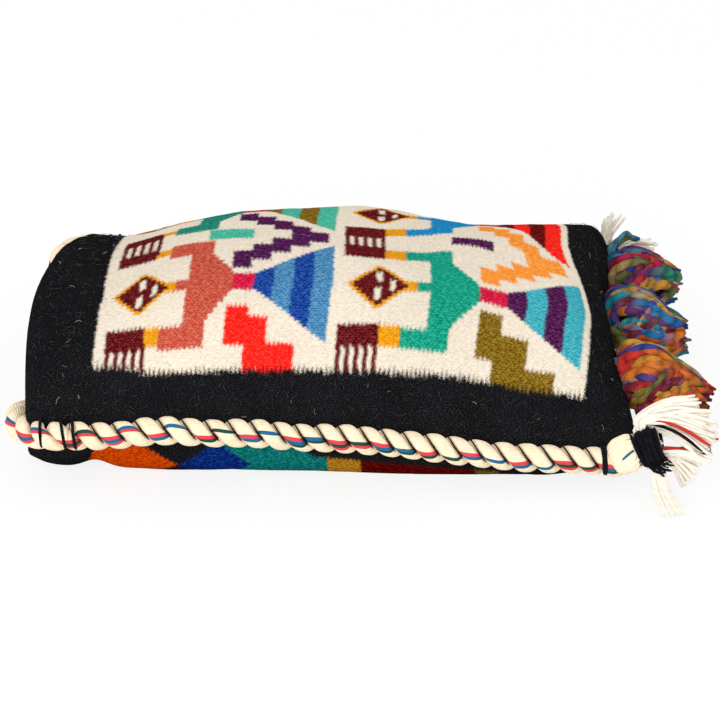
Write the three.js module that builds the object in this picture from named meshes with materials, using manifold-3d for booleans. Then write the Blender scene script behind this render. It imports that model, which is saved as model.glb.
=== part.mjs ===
// A woven wool shoulder bag, lying on its back panel with its mouth towards -X.
// Two woven panels are sewn together along both sides and the bottom, a thick two-strand rope is sewn over
// each side seam and runs on as the shoulder strap, and tassels hang from the bottom edge.
// Millimetres, +Z up. The origin is the middle of the flat patch that the back panel rests on.
import * as THREE from 'three';
import { mergeVertices } from 'three/addons/utils/BufferGeometryUtils.js';
import Module from 'manifold-3d';

// Cloth
const BAG_HEIGHT = 301; // mouth edge to bottom seam, at the sides
const BAG_WIDTH = 230; // side seam to side seam
const CLOTH = 3; // thickness of the woven cloth
const SEAM_GAP = 0.3; // between the two panels where they are sewn
const MOUTH_BOW = 6; // how far the mouth edge stands out at mid-width
const NEAR_MOUTH_ADVANCE = 2.5; // the near end of the mouth edge stands this much further out
const FAR_MOUTH_SET_BACK = 15; // and its far end lies this much further in
const MOUTH_CORNER = 7; // radius that the mouth corners are rounded to
const SEAM_START = 20; // the side seams and their ropes start this far in from the mouth
const MOUTH_PART = 9; // past the seam's start the two panels part this much, each, to let the rope out
const MOUTH_PART_RUN = 13; // length over which they part
const MOUTH_PART_POWER = 10; // keeps the parting near the sides
const BOTTOM_BOW = 6; // how far the bottom edge pulls in at mid-width

// Height of the sewn edge above the ground at each corner
const NEAR_MOUTH_SEAM = 33;
const FAR_MOUTH_SEAM = 23;
const NEAR_BOTTOM_SEAM = 17;
const FAR_BOTTOM_SEAM = 16;
const SEAM_DROP_START = -60; // the seams run level to here, then drop to the bottom corners
const BOTTOM_LIFT = 14; // the bottom seam stands higher at mid-width
const BOTTOM_LIFT_POWER = 3; // keeps it high over most of the width
const BOTTOM_LIFT_RUN = 105; // length over which it climbs to that height

// Bulge of the front panel over the sewn edge
const MOUTH_RISE = 40.5;
const BODY_RISE = 54.5;
const LOWER_RISE_LOSS = 17.5; // the bulge is lower over the lower half of the bag
const LOWER_RISE_RUN = 140; // length over which that loss comes in, from mid-height
const BODY_RISE_RUN = 115; // length over which the mouth opens into the body
const MOUTH_LEAN = 0.17; // share of the half width by which the bulge leans to the near seam at the mouth
const MOUTH_LEAN_RUN = 150; // length over which it comes upright
const NEAR_END_RUN = 60; // length over which the bulge falls to the bottom seam
const FAR_END_RUN = 15; // the far bottom corner is blunt
const NEAR_CROSS_POWER = 2.2; // fullness of the bulge on the near side of its crest
const FAR_CROSS_POWER = 3.5; // and on the far side
const END_POWER = 3.2; // fullness of the bulge at the bottom end
const PUCKER = 1.6; // gentle waves where the seam gathers the cloth
const PUCKER_PITCH = 96;
const CORNER_LIFT = 5; // the strap pushes the cloth up inside each mouth corner
const CORNER_LIFT_REACH = 20;
const CORNER_LIFT_POWER = 8; // keeps the lift off the seam itself

// Sag of the back panel to the ground
const BACK_FULLNESS = 1.08; // over 1, so that a patch in the middle lies flat
const BACK_CROSS_POWER = 14;
const BACK_END_POWER = 4;
const BACK_END_RUN = 90; // length over which the back rises to the bottom seam
const UPRIGHT_REACH = 8; // width along the seams where the cloth's thickness stands upright

// Rope
const ROPE_DIAMETER = 14;
const ROPE_GROOVE = 10.6; // across the two grooves between the strands
const ROPE_LAY = 22; // length of one full turn
const STRAND_ROUNDNESS = 1.2; // power that rounds the strands between the grooves
const ROPE_GAP = 0.5; // rope to cloth
const ROPE_END_INSET = 7.5; // the sewn rope ends this far short of the bottom corner

// Tassels
const BUTT_GAP = 0.3; // end faces that meet
const BINDING_GAP = 0.4; // binding to the tassel neck inside it
const NECK_RADIUS = 4.2;
const NECK_LENGTH = 20;
const NECK_OVERLAP = 2; // the bunches start this far inside the neck
const COTTON_LENGTH = 30; // length of a corner tassel's longest yarns past its neck
const BINDING_START = 2.5; // from the rope's end to the binding
const BINDING_TURNS = 5;
const BINDING_YARN = 2.6;
const BINDING_VALLEY = 0.55; // share of the yarn left between two turns
const BINDING_CREST = 0.3; // share of a turn's width at which its round back starts
const WOOL_TASSEL_ROOT_GAP = 0.6;
const WOOL_TASSEL_RADIUS = 19;
const WOOL_TASSEL_LENGTH = 46;
const WOOL_TASSEL_DROP = 11; // how far its tip hangs below its root
const WOOL_TASSEL_PLACES = { near: -0.38, middle: 0.16, far: 0.64 }; // shares of the half width
// Shares of the length and of the drop, from root to tip
const WOOL_TASSEL_CURVE = [[0, 0], [0.2, 0.02], [0.6, 0.55], [1, 1]];
const WOOL_TASSEL_PROFILE = [0.24, 0.6, 0.88, 1, 1, 0.95, 0.82, 0.56, 0.24]; // shares of the radius
// Bunched yarn: ridges round it, their depth as a share of the radius, and the turn from root to tip
const NECK_YARN = { lobes: 6, depth: 0.08, twist: 0 };
const COTTON_YARN = { lobes: 6, depth: 0.16, twist: 0.6 };
const WOOL_YARN = { lobes: 7, depth: 0.16, twist: 1.2 };

// Number of faces
const BODY_CELLS = 17;
const END_CELLS = 7;
const CROSS_CELLS = 22;
const SEAM_CROWDING = 0.3; // how much closer the places lie together towards the seams
const ROPE_SIDES = 8;
const ROPE_STEPS_PER_LAY = 6;
const STRAP_SIDES = 10;
const STRAP_STEPS = 76;
const STRAP_LENGTH_SAMPLES = 800;
const BINDING_SIDES = 14;
const SLOPE_STEP = 0.5; // half the distance over which a panel's slope is measured

const halfWidth = BAG_WIDTH / 2;
const mouthX = -BAG_HEIGHT / 2;
const bottomX = BAG_HEIGHT / 2;
const seamStartX = mouthX + SEAM_START;
const ropeRadius = ROPE_DIAMETER / 2;
const ropeY = halfWidth + ROPE_GAP + ropeRadius;
const ropeEnd = bottomX - ROPE_END_INSET;

const wool = (color) => new THREE.MeshStandardMaterial({ color, roughness: 0.95, metalness: 0 });
const blackWool = wool(0x17171b);
const backWool = wool(0x1c1c24);
const creamCotton = wool(0xeaddc0);
const whiteCotton = wool(0xf0e8da);
const dyedWool = wool(0x2f6a94);

const clamp01 = (t) => Math.min(1, Math.max(0, t));
const mix = (a, b, t) => a + (b - a) * t;

function smooth(t) {
  const c = clamp01(t);
  return c * c * (3 - 2 * c);
}

// 1 at mid-width, 0 at both side seams
const crown = (y) => 1 - (y / halfWidth) ** 2;

const bottomEdge = (y) => bottomX - BOTTOM_BOW * crown(y);

// Height of the sewn edge, carried across the bag between the two seams
function seamHeight(x, y) {
  const drop = smooth((x - SEAM_DROP_START) / (bottomX - SEAM_DROP_START));
  const near = mix(NEAR_MOUTH_SEAM, NEAR_BOTTOM_SEAM, drop);
  const far = mix(FAR_MOUTH_SEAM, FAR_BOTTOM_SEAM, drop);
  const middle = 1 - Math.abs(y / halfWidth) ** BOTTOM_LIFT_POWER;
  const lift = BOTTOM_LIFT * middle * smooth(1 - (bottomEdge(y) - x) / BOTTOM_LIFT_RUN);
  return mix(near, far, (y + halfWidth) / BAG_WIDTH) + lift;
}

// How far each panel leaves the sewn line beyond the start of the seam
function mouthPart(x, y) {
  return MOUTH_PART * smooth((seamStartX - x) / MOUTH_PART_RUN) * Math.abs(y / halfWidth) ** MOUTH_PART_POWER;
}

// The mouth edge bows out and slants back to the far seam, and its corners are rounded
function mouthEdge(y) {
  const past = Math.max(0, Math.abs(y) - (halfWidth - MOUTH_CORNER));
  const inset = MOUTH_CORNER - Math.sqrt(Math.max(0, MOUTH_CORNER ** 2 - past ** 2));
  const slant = mix(-NEAR_MOUTH_ADVANCE, FAR_MOUTH_SET_BACK, smooth((y + halfWidth) / BAG_WIDTH));
  return mouthX - MOUTH_BOW * crown(y) + slant + inset;
}

function frontBulge(x, y) {
  const share = Math.abs(y / halfWidth);
  const body = mix(MOUTH_RISE, BODY_RISE, smooth((x - seamStartX) / BODY_RISE_RUN));
  const lower = LOWER_RISE_LOSS * smooth(x / LOWER_RISE_RUN);
  const endRun = mix(NEAR_END_RUN, FAR_END_RUN, smooth((y + halfWidth) / BAG_WIDTH));
  const end = 1 - clamp01(1 - (bottomEdge(y) - x) / endRun) ** END_POWER;
  const pucker = PUCKER * Math.sin((2 * Math.PI * x) / PUCKER_PITCH) * 4 * share * (1 - share);
  const cornerX = mouthX + SEAM_START / 2;
  const cornerY = halfWidth - SEAM_START;
  const toCorner = Math.hypot(x - cornerX, Math.abs(y) - cornerY);
  const corner = CORNER_LIFT * Math.exp(-((toCorner / CORNER_LIFT_REACH) ** 2));
  const lean = MOUTH_LEAN * smooth(1 - (x - mouthX) / MOUTH_LEAN_RUN);
  const fromCrest = y / halfWidth + lean * crown(y);
  const power = fromCrest < 0 ? NEAR_CROSS_POWER : FAR_CROSS_POWER;
  const arch = (body - lower) * (1 - Math.abs(fromCrest) ** power);
  return (arch + pucker + corner * (1 - share ** CORNER_LIFT_POWER)) * end;
}

// 1 where the back panel lies on the ground, 0 along the sewn edges
function backSag(x, y) {
  const across = BACK_FULLNESS * (1 - Math.abs(y / halfWidth) ** BACK_CROSS_POWER);
  const along = BACK_FULLNESS * (1 - clamp01(1 - (bottomEdge(y) - x) / BACK_END_RUN) ** BACK_END_POWER);
  return Math.min(1, across) * Math.min(1, along);
}

// A place on the outside of a panel: s runs from the mouth to the bottom, y across the bag
function onFront(s, y) {
  const x = mix(mouthEdge(y), bottomEdge(y), s);
  const sewn = seamHeight(x, y) + SEAM_GAP / 2 + CLOTH;
  return new THREE.Vector3(x, y, sewn + frontBulge(x, y) + mouthPart(x, y));
}

function onBack(s, y) {
  const x = mix(mouthEdge(y), bottomEdge(y), s);
  const sewn = seamHeight(x, y) - SEAM_GAP / 2 - CLOTH;
  return new THREE.Vector3(x, y, (sewn - mouthPart(x, y)) * (1 - backSag(x, y)));
}

// One closed body through rings that all hold the same even number of points, with its ends closed by strips
function loft(rings) {
  const count = rings[0].length;
  const last = (rings.length - 1) * count;
  const faces = [];
  for (let r = 0; r < last; r += count) {
    for (let i = 0; i < count; i += 1) {
      const j = (i + 1) % count;
      faces.push(r + i, r + j, r + count + j, r + i, r + count + j, r + count + i);
    }
  }
  for (let i = 0; i + 1 < count / 2; i += 1) {
    const j = count - 1 - i;
    faces.push(i, j, j - 1, i, j - 1, i + 1);
    faces.push(last + i, last + i + 1, last + j - 1, last + i, last + j - 1, last + j);
  }
  const geometry = new THREE.BufferGeometry().setFromPoints(rings.flat());
  geometry.setIndex(faces);
  return geometry;
}

// Places from the mouth to the bottom, closer together where the bulge falls to the bottom seam
function stationsAlong() {
  const endShare = NEAR_END_RUN / BAG_HEIGHT;
  const stations = [];
  for (let i = 0; i < BODY_CELLS; i += 1) {
    stations.push(((1 - endShare) * i) / BODY_CELLS);
  }
  for (let i = 0; i <= END_CELLS; i += 1) {
    stations.push(1 - endShare * (1 - Math.sin((Math.PI / 2) * (i / END_CELLS))));
  }
  return stations;
}

// Places from the near seam to the far one, closer together towards both seams
function stationsAcross() {
  const stations = [];
  for (let i = 0; i <= CROSS_CELLS; i += 1) {
    const t = (2 * i) / CROSS_CELLS - 1;
    stations.push(halfWidth * ((1 + SEAM_CROWDING) * t - SEAM_CROWDING * t ** 3));
  }
  return stations;
}

// A panel as a shell: the outside follows the given surface, and the inside lies one cloth thickness within.
// Along the sewn edges the thickness is upright, so that the two panels lie flat on each other there.
function panel(surface, inward) {
  const shareStep = SLOPE_STEP / BAG_HEIGHT;
  const across = stationsAcross();
  const rings = stationsAlong().map((s) => {
    const outside = across.map((y) => surface(s, y));
    const inside = across.map((y, i) => {
      const low = Math.max(-halfWidth, y - SLOPE_STEP);
      const high = Math.min(halfWidth, y + SLOPE_STEP);
      const before = Math.max(0, s - shareStep);
      const after = Math.min(1, s + shareStep);
      const alongX = surface(after, y).sub(surface(before, y));
      const alongY = surface(s, high).sub(surface(s, low));
      const normal = alongX.cross(alongY).normalize();
      const upright = new THREE.Vector3(0, 0, 1);
      const toEdge = Math.min(halfWidth - Math.abs(y), (1 - s) * BAG_HEIGHT);
      const direction = upright.lerp(normal, smooth(toEdge / UPRIGHT_REACH)).normalize();
      return outside[i].clone().addScaledVector(direction, inward * CLOTH);
    });
    const ring = [...outside, ...inside.reverse()];
    return inward < 0 ? ring.reverse() : ring;
  });
  return loft(rings);
}

// Half the rope's width at an angle from the line through its two strands
function ropeReach(angle) {
  const toStrand = Math.abs(Math.cos(angle)) ** STRAND_ROUNDNESS;
  return mix(ROPE_GROOVE, ROPE_DIAMETER, toStrand) / 2;
}

// A rope sewn along one side seam, its two strands turning about its middle
function sideRope(side) {
  const steps = Math.round(((ropeEnd - seamStartX) / ROPE_LAY) * ROPE_STEPS_PER_LAY);
  const rings = [];
  for (let n = 0; n <= steps; n += 1) {
    const x = mix(seamStartX, ropeEnd, n / steps);
    const turn = (2 * Math.PI * (x - seamStartX)) / ROPE_LAY;
    const z = seamHeight(x, side * halfWidth);
    const ring = [];
    for (let i = 0; i < ROPE_SIDES; i += 1) {
      const angle = (2 * Math.PI * i) / ROPE_SIDES;
      const reach = ropeReach(angle);
      ring.push(new THREE.Vector3(
        x,
        side * ropeY + reach * Math.cos(angle + turn),
        z + reach * Math.sin(angle + turn),
      ));
    }
    rings.push(ring);
  }
  return loft(rings);
}

// The free strap: out of the near seam, round the mouth corner into the pocket, and in loose runs over the
// inside of the back panel. These are the near half's points; the far half is their mirror image, and starts as
// much lower as the far seam does.
const STRAP_HALF_ROUTE = [
  [-130.8, -122.5, 33], [-135.5, -122.5, 33], [-145.5, -118.9, 33], [-155.7, -108.5, 32],
  [-159.5, -94.5, 29], [-155.7, -80.5, 24], [-146, -70.2, 18.5], [-128, -66.5, 14.5],
  [-98, -71.5, 12.8], [-62, -79.5, 13], [-20, -83, 13], [62, -83, 13],
  [81.8, -74.8, 12], [90, -55, 11.5], [81.8, -35.2, 11], [62, -27, 11],
  [28, -26, 11], [-4, -28, 11], [-23.8, -19.8, 11],
];
const STRAP_MIDDLE = [-32, 0, 11];

function strap() {
  const near = STRAP_HALF_ROUTE.map(([x, y, z]) => new THREE.Vector3(x, y, z));
  const middle = new THREE.Vector3(...STRAP_MIDDLE);
  const lowered = (FAR_MOUTH_SEAM - middle.z) / (NEAR_MOUTH_SEAM - middle.z);
  const far = near.map((point) => (
    new THREE.Vector3(point.x, -point.y, mix(middle.z, point.z, lowered))
  )).reverse();
  const route = new THREE.CatmullRomCurve3([...near, middle, ...far]);
  route.arcLengthDivisions = STRAP_LENGTH_SAMPLES;
  const section = new THREE.Shape();
  section.absarc(0, 0, ropeRadius, 0, 2 * Math.PI);
  return new THREE.ExtrudeGeometry(section, {
    steps: STRAP_STEPS,
    extrudePath: route,
    curveSegments: STRAP_SIDES / 2,
    bevelEnabled: false,
  });
}

// A bunch of yarn along a curve: lobed rings whose radii follow the curve
function bunch(points, radii, { lobes, depth, twist }, flatten = 1) {
  const curve = new THREE.CatmullRomCurve3(points);
  const steps = radii.length - 1;
  const frames = curve.computeFrenetFrames(steps);
  const rings = radii.map((radius, n) => {
    const middle = curve.getPointAt(n / steps);
    const ring = [];
    for (let i = 0; i < 2 * lobes; i += 1) {
      const angle = (Math.PI * i) / lobes + (twist * n) / steps;
      const reach = radius * (i % 2 ? 1 - depth : 1);
      ring.push(middle.clone()
        .addScaledVector(frames.normals[n], reach * Math.cos(angle))
        .addScaledVector(frames.binormals[n], reach * flatten * Math.sin(angle)));
    }
    return ring;
  });
  return loft(rings);
}

const wasm = await Module();
wasm.setup();

// Any geometry as a solid that can be joined to others
function solid(geometry) {
  const bare = geometry.clone();
  bare.deleteAttribute('normal');
  bare.deleteAttribute('uv');
  const merged = mergeVertices(bare, 1e-4);
  const vertProperties = new Float32Array(merged.attributes.position.array);
  const triVerts = new Uint32Array(merged.index.array);
  return new wasm.Manifold(new wasm.Mesh({ numProp: 3, vertProperties, triVerts }));
}

function geometryOf(body) {
  const mesh = body.getMesh();
  const geometry = new THREE.BufferGeometry();
  geometry.setAttribute('position', new THREE.BufferAttribute(new Float32Array(mesh.vertProperties), 3));
  geometry.setIndex(Array.from(mesh.triVerts));
  return geometry;
}

// The bunches that each corner tassel parts into: points ahead, outward and up, and radii along them, all as
// shares of the yarns' length
const CORNER_BUNCHES = {
  near: [
    {
      through: [[0.2, 0.07, 0.1], [0.5, -0.2, 0.23], [0.83, -0.47, 0.3]],
      radii: [0.13, 0.25, 0.37, 0.43, 0.37],
      flatten: 0.6,
    },
    {
      through: [[0.17, 0.17, -0.07], [0.2, 0.47, -0.2], [0.07, 0.93, -0.36]],
      radii: [0.12, 0.17, 0.2, 0.22, 0.2],
      flatten: 0.6,
    },
  ],
  far: [
    {
      through: [[0.13, -0.07, 0.07], [0.33, -0.2, 0.13], [0.53, -0.3, 0.13]],
      radii: [0.13, 0.22, 0.28, 0.32, 0.27],
      flatten: 0.6,
    },
    {
      through: [[0.17, 0.17, 0.07], [0.07, 0.4, 0.17], [-0.2, 0.6, 0.37]],
      radii: [0.12, 0.17, 0.2, 0.2, 0.17],
      flatten: 0.6,
    },
  ],
};

// A tassel of cotton at a bottom corner: a bound neck that parts into bunches
function cornerTassel(side, bunches) {
  const z = seamHeight(bottomX, side * halfWidth);
  const root = ropeEnd + BUTT_GAP;
  const neckEnd = root + NECK_LENGTH;
  const place = (x, outward, up) => new THREE.Vector3(x, side * (ropeY + outward), z + up);
  const neck = [place(root, 0, 0), place((root + neckEnd) / 2, 0, 0), place(neckEnd, 0, 0)];
  let body = solid(bunch(neck, neck.map(() => NECK_RADIUS), NECK_YARN));
  for (const { through, radii, flatten } of bunches) {
    const start = place(neckEnd - NECK_OVERLAP, 0, 0);
    const points = through.map(([ahead, outward, up]) => (
      place(neckEnd + ahead * COTTON_LENGTH, outward * COTTON_LENGTH, up * COTTON_LENGTH)
    ));
    const sizes = radii.map((share) => share * COTTON_LENGTH);
    body = body.add(solid(bunch([start, ...points], sizes, COTTON_YARN, flatten)));
  }
  return geometryOf(body);
}

// The yarn wound round a corner tassel's neck, turn beside turn
function binding() {
  const inner = NECK_RADIUS + BINDING_GAP;
  const valley = inner + BINDING_YARN * BINDING_VALLEY;
  const crest = inner + BINDING_YARN;
  const length = BINDING_TURNS * BINDING_YARN;
  const profile = [new THREE.Vector2(inner, 0)];
  for (let turn = 0; turn < BINDING_TURNS; turn += 1) {
    profile.push(new THREE.Vector2(valley, turn * BINDING_YARN));
    profile.push(new THREE.Vector2(crest, (turn + BINDING_CREST) * BINDING_YARN));
    profile.push(new THREE.Vector2(crest, (turn + 1 - BINDING_CREST) * BINDING_YARN));
  }
  profile.push(new THREE.Vector2(valley, length));
  profile.push(new THREE.Vector2(inner, length));
  profile.push(profile[0].clone());
  return new THREE.LatheGeometry(profile, BINDING_SIDES);
}

// A fat tassel of dyed wool at the bottom edge: a narrow root, a full body and a tapering tip
function woolTassel(y) {
  const x = bottomEdge(y) + WOOL_TASSEL_ROOT_GAP;
  const z = seamHeight(bottomEdge(y), y);
  const points = WOOL_TASSEL_CURVE.map(([along, down]) => (
    new THREE.Vector3(x + along * WOOL_TASSEL_LENGTH, y, z - down * WOOL_TASSEL_DROP)
  ));
  const radii = WOOL_TASSEL_PROFILE.map((share) => share * WOOL_TASSEL_RADIUS);
  return bunch(points, radii, WOOL_YARN);
}

const bag = new THREE.Group();
bag.name = 'shoulder_bag';

function addPiece(name, geometry, material) {
  const mesh = new THREE.Mesh(geometry, material);
  mesh.name = name;
  geometry.computeVertexNormals();
  bag.add(mesh);
  return mesh;
}

addPiece('front_panel', panel(onFront, -1), blackWool);
addPiece('back_panel', panel(onBack, 1), backWool);
addPiece('shoulder_strap', strap(), creamCotton);

for (const [name, side] of [['near', -1], ['far', 1]]) {
  addPiece(`${name}_side_rope`, sideRope(side), creamCotton);
  addPiece(`${name}_corner_tassel`, cornerTassel(side, CORNER_BUNCHES[name]), whiteCotton);
  const wrap = addPiece(`${name}_tassel_binding`, binding(), blackWool);
  wrap.rotation.z = -Math.PI / 2;
  wrap.position.set(ropeEnd + BINDING_START, side * ropeY, seamHeight(bottomX, side * halfWidth));
}

for (const [name, share] of Object.entries(WOOL_TASSEL_PLACES)) {
  addPiece(`${name}_wool_tassel`, woolTassel(share * halfWidth), dyedWool);
}

export default bag;
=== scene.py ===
import math
import random

import bpy
import numpy as np
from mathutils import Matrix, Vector, noise


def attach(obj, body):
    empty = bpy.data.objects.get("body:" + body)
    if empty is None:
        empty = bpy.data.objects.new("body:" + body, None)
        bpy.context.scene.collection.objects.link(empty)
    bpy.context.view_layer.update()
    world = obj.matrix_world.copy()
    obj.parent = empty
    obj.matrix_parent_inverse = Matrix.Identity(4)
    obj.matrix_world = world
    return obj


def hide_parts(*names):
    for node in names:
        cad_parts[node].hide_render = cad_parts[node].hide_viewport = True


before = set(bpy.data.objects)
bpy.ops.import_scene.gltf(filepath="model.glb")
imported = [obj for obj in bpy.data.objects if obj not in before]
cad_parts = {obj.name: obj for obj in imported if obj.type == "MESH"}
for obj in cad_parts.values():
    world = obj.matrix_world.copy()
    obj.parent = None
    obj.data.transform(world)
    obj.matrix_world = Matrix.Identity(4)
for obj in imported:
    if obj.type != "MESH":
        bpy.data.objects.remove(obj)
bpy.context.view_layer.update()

# Sizes are millimetres where no heading says otherwise, and MM turns them into metres
MM = 0.001
FULL_TURN = 2 * math.pi

# Camera
CAMERA_TARGET = (11.3, 0, 12)
CAMERA_DISTANCE = 1350
CAMERA_ELEVATION = math.radians(26.5)
CAMERA_YAW = math.radians(0.3)
CAMERA_LENS = 125.5

# Shape of the two panels, the same values as in the solids
BAG_HEIGHT = 301
BAG_WIDTH = 230
CLOTH = 3
NEAR_MOUTH_ADVANCE = 2.5
MOUTH_CORNER = 7
SEAM_START = 20
MOUTH_PART = 9
MOUTH_PART_RUN = 13
MOUTH_PART_POWER = 10
BOTTOM_BOW = 6
NEAR_MOUTH_SEAM = 33
FAR_MOUTH_SEAM = 23
NEAR_BOTTOM_SEAM = 17
FAR_BOTTOM_SEAM = 16
SEAM_DROP_START = -60
BOTTOM_LIFT = 14
BOTTOM_LIFT_POWER = 3
BOTTOM_LIFT_RUN = 105
MOUTH_RISE = 40.5
BODY_RISE = 54.5
LOWER_RISE_LOSS = 17.5
LOWER_RISE_RUN = 140
BODY_RISE_RUN = 115
MOUTH_LEAN = 0.17
MOUTH_LEAN_RUN = 150
NEAR_END_RUN = 60
NEAR_CROSS_POWER = 2.2
FAR_CROSS_POWER = 3.5
END_POWER = 3.2
PUCKER = 1.6
PUCKER_PITCH = 96
CORNER_LIFT = 5
CORNER_LIFT_REACH = 20
CORNER_LIFT_POWER = 8
BACK_FULLNESS = 1.08
BACK_CROSS_POWER = 14
BACK_END_POWER = 4
BACK_END_RUN = 90
UPRIGHT_REACH = 8

# Where the cloth leaves the solids by a few millimetres
MOUTH_DROOP = 2.2
MOUTH_DROOP_START = -88
MOUTH_DROOP_RUN = 40
NEAR_LIP_SHARE = 0.15
FAR_LIP_SHARE = 0.45
NEAR_MOUTH_CORNER = 3
FAR_RISES = ((-140, 24, -2.4), (-78, 28, -1), (-8, 45, 0.8), (76, 34, 2.4))
FAR_RISE_START = -10
FAR_RISE_RUN = 50
NEAR_BACK_PLACES = (-125, -85, -10, 40, 90)
NEAR_BACK_POWERS = (14, 19, 20, 27, 27)
NEAR_STRIP = (60, 35)
STRIP_MOUTH_LIFT = 7
STRIP_MOUTH_RUN = 24
STRIP_MOUTH_POWER = 3
STRIP_FOLD_LIFT = 4
STRIP_FOLD = (-121, 8)
FAR_BOTTOM_ADVANCE = 6.5
FAR_BOTTOM_START = 15
SEAM_GAP = -0.4
MOUTH_BOW = 6.8
FAR_MOUTH_SET_BACK = 13.6
FAR_END_RUN = 10

half_width = BAG_WIDTH / 2
mouth_x = -BAG_HEIGHT / 2
bottom_x = BAG_HEIGHT / 2
seam_start = mouth_x + SEAM_START

# Cloth laid flat, and how finely its surface is cut
FLAT_LENGTH = 316
FLAT_WIDTH = 272
CELLS_ALONG = 176
CELLS_ACROSS = 150
LIP_STATIONS = (0, 0.0015, 0.004)
LIP_THICKNESS = (0.45, 0.8, 0.95)
UNEVEN_WAVES = ((34, 0.7), (13, 0.4), (5, 0.18))
FIRST_STATION = 0.008

# Pulls that shift the woven design: place along, place across and shift
PULLS = (
    (65, 45, 3.5), (145, 40, 3), (75, 145, -10), (45, 180, -12), (165, 170, 18),
    (222, 95, -12), (215, 165, -22), (280, 125, 16), (283, 45, 4),
)
PULL_LENGTH = 35
PULL_WIDTH = 38
SLANT_START = 90
SLANT = 0.087
MOUTH_SHIFT = -2.2
CORNER_PULL = 13.5
CORNER_PULL_ALONG = (210, 75)
CORNER_PULL_ACROSS = (85, 75)

# Woven design of the front panel on the flat cloth: along from the mouth, across from the near seam
WEFT_ROW = 1.5
WEFT_BUMP = 2.2
WISP = 4.5
FIBRE_DEPTH = 0.5
TOOTH_PITCH = 2.3
TOOTH_LENGTH = 2.6
TOOTH_SHARPNESS = 1.6
BORDER_TOOTH_LENGTH = 5.2
EDGE_STEP = 0.8
FIELD_ALONG = (32.5, 286)
FIELD_ACROSS = (33.7, 238.3)
BORDER_DIPS = ((92, 45, 3.5), (36, 24, -3), (222, 30, -2))
COLUMN_SPLIT = 153.3
ROW_SPLIT = 136
NEAR_ROW = 86
FAR_ROW = 186

# Blocks of a woven figure: start and end along it, inner and outer edge across it, each in its two columns
MIDDLE = (-1, -1)
OPEN = (200, 200)
NECK_EDGE = (4.2, 4.2)
WAIST_EDGE = (6.5, 6.5)
LOW_BLOCK = ((98.6, 227.3), (110, 239.2), (17, 12.4), (41.5, 39))
MID_BLOCK = ((109, 236.5), (120, 254), (23, 24), OPEN)
HIGH_BLOCK = ((120, 254), (135, 269.5), (38, 41), OPEN)
TIE = ((84.5, 212.5), (108.5, 237.5), (43, 45.5), OPEN)
BAR = ((77, 201), (88.5, 213), MIDDLE, (42, 39))
ARM = ((65.2, 188), (80, 204), (27.5, 27.5), (42, 39))
NECK = ((70.5, 193.5), (78, 202), MIDDLE, NECK_EDGE)
THROAT = ((63, 186), (70.5, 193.5), MIDDLE, NECK_EDGE)
WAIST = ((100, 226.5), (110.5, 240.5), MIDDLE, WAIST_EDGE)

# Other parts of a woven figure, with a pair of values where its two columns differ
STAIRS = 5
STAIRS_START = (99, 228)
STAIR_LENGTH = 9.75
STAIR_RISE = 7.6
STAIR_INNER = 11.5
STAIR_OUTER = 28
SKIRT_START = (110.5, 240.5)
SKIRT_LENGTH = (40, 41.5)
SKIRT_BANDS = 4
SKIRT_SPREAD = 31.5
FAR_SKIRT_SPREAD = (0, 8)
TORSO_START = (88, 212.5)
TORSO_END = (100, 226.5)
TORSO_LENGTH = (12, 14)
TORSO_HALF = 25
WRIST_START = (57.8, 177)
WRIST_END = (65.2, 188)
WRIST_INNER = 26.5
WRIST_OUTER = 39
INWARD_NARROWER = (5, 0)
PALM_START = (37.8, 155.8)
PALM_INNER = 26
KNUCKLES = (41, 39)
INWARD_KNUCKLES = (1.5, 3.5)
FINGERS = 4.6
FINGER_START = (38.3, 156.3)
FINGER_PITCH = (4.55, 4.65)
FINGER_SHARE = 0.52
FINGER_ACROSS = (36, 54)
HEAD_MIDDLE = (53.2, 174.4)
HEAD_HALF_LENGTH = (15.8, 17)
HEAD_HALF = 18
FACE_SHARE = 0.86
EYE_ALONG = (-2, 1.2)
EYE_ACROSS = (2.8, 11)
LIPS_ALONG = (5.2, 7.8)
LIPS_HALF = 4.2

# Rope
ROPE_DIAMETER = 14
ROPE_LAY = 22
ROPE_GAP = 0.5
ROPE_END_INSET = 7.5
LOBE_FULLNESS = 2.8
LOBE_ROUNDING = 0.47
LOBE_LEAST = 0.06
SEEN_SIDE = 26.5 / 360
ROPE_YARNS = 34
ROPE_SWELLS = 0.05
ROPE_SWELL_RUN = 7.3
ROPE_WANDERS = ((17, 0.55), (7.3, 0.35))
ROPE_TURN_WANDER = (26, 0.3)
ROPE_WANDER_FADE = 25
STRAP_RINGS_PER_LAY = 18
STRAP_POINTS_ROUND = 30
SEAM_RINGS_PER_LAY = 24
SEAM_POINTS_ROUND = 40

rope_radius = ROPE_DIAMETER / 2
rope_y = half_width + rope_radius + ROPE_GAP
rope_end = bottom_x - ROPE_END_INSET

# Dyed yarns in the rope: how far round it they lie, where they sink from its top to its lower side
STRIPE_HIGH = 0.42
STRIPE_LOW = 0.57
STRIPE_SINK = (-60, 90)
STRIPE = 0.044

# Half of the strap's route, from the near mouth corner to its middle
STRAP_HALF_ROUTE = (
    (-130.8, -122.5, 30.8), (-135.5, -122.5, 30.6), (-145.5, -118.9, 29.4), (-155.7, -108.5, 28.2),
    (-159.5, -94.5, 26), (-155.7, -80.5, 22.5), (-146, -70.2, 18.2), (-128, -66.5, 14.5),
    (-98, -71.5, 12.8), (-62, -79.5, 13), (-20, -83, 13), (62, -83, 13), (81.8, -74.8, 12),
    (90, -55, 11.5), (81.8, -35.2, 11), (62, -27, 11), (28, -26, 11), (-4, -28, 11), (-23.8, -19.8, 11),
)
STRAP_MIDDLE = (-32, 0, 11)
FAR_CURL_LIFT = 6
FAR_CURL_START = -132
FAR_CURL_RUN = 20
STRAP_MEASURES = 2000

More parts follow.
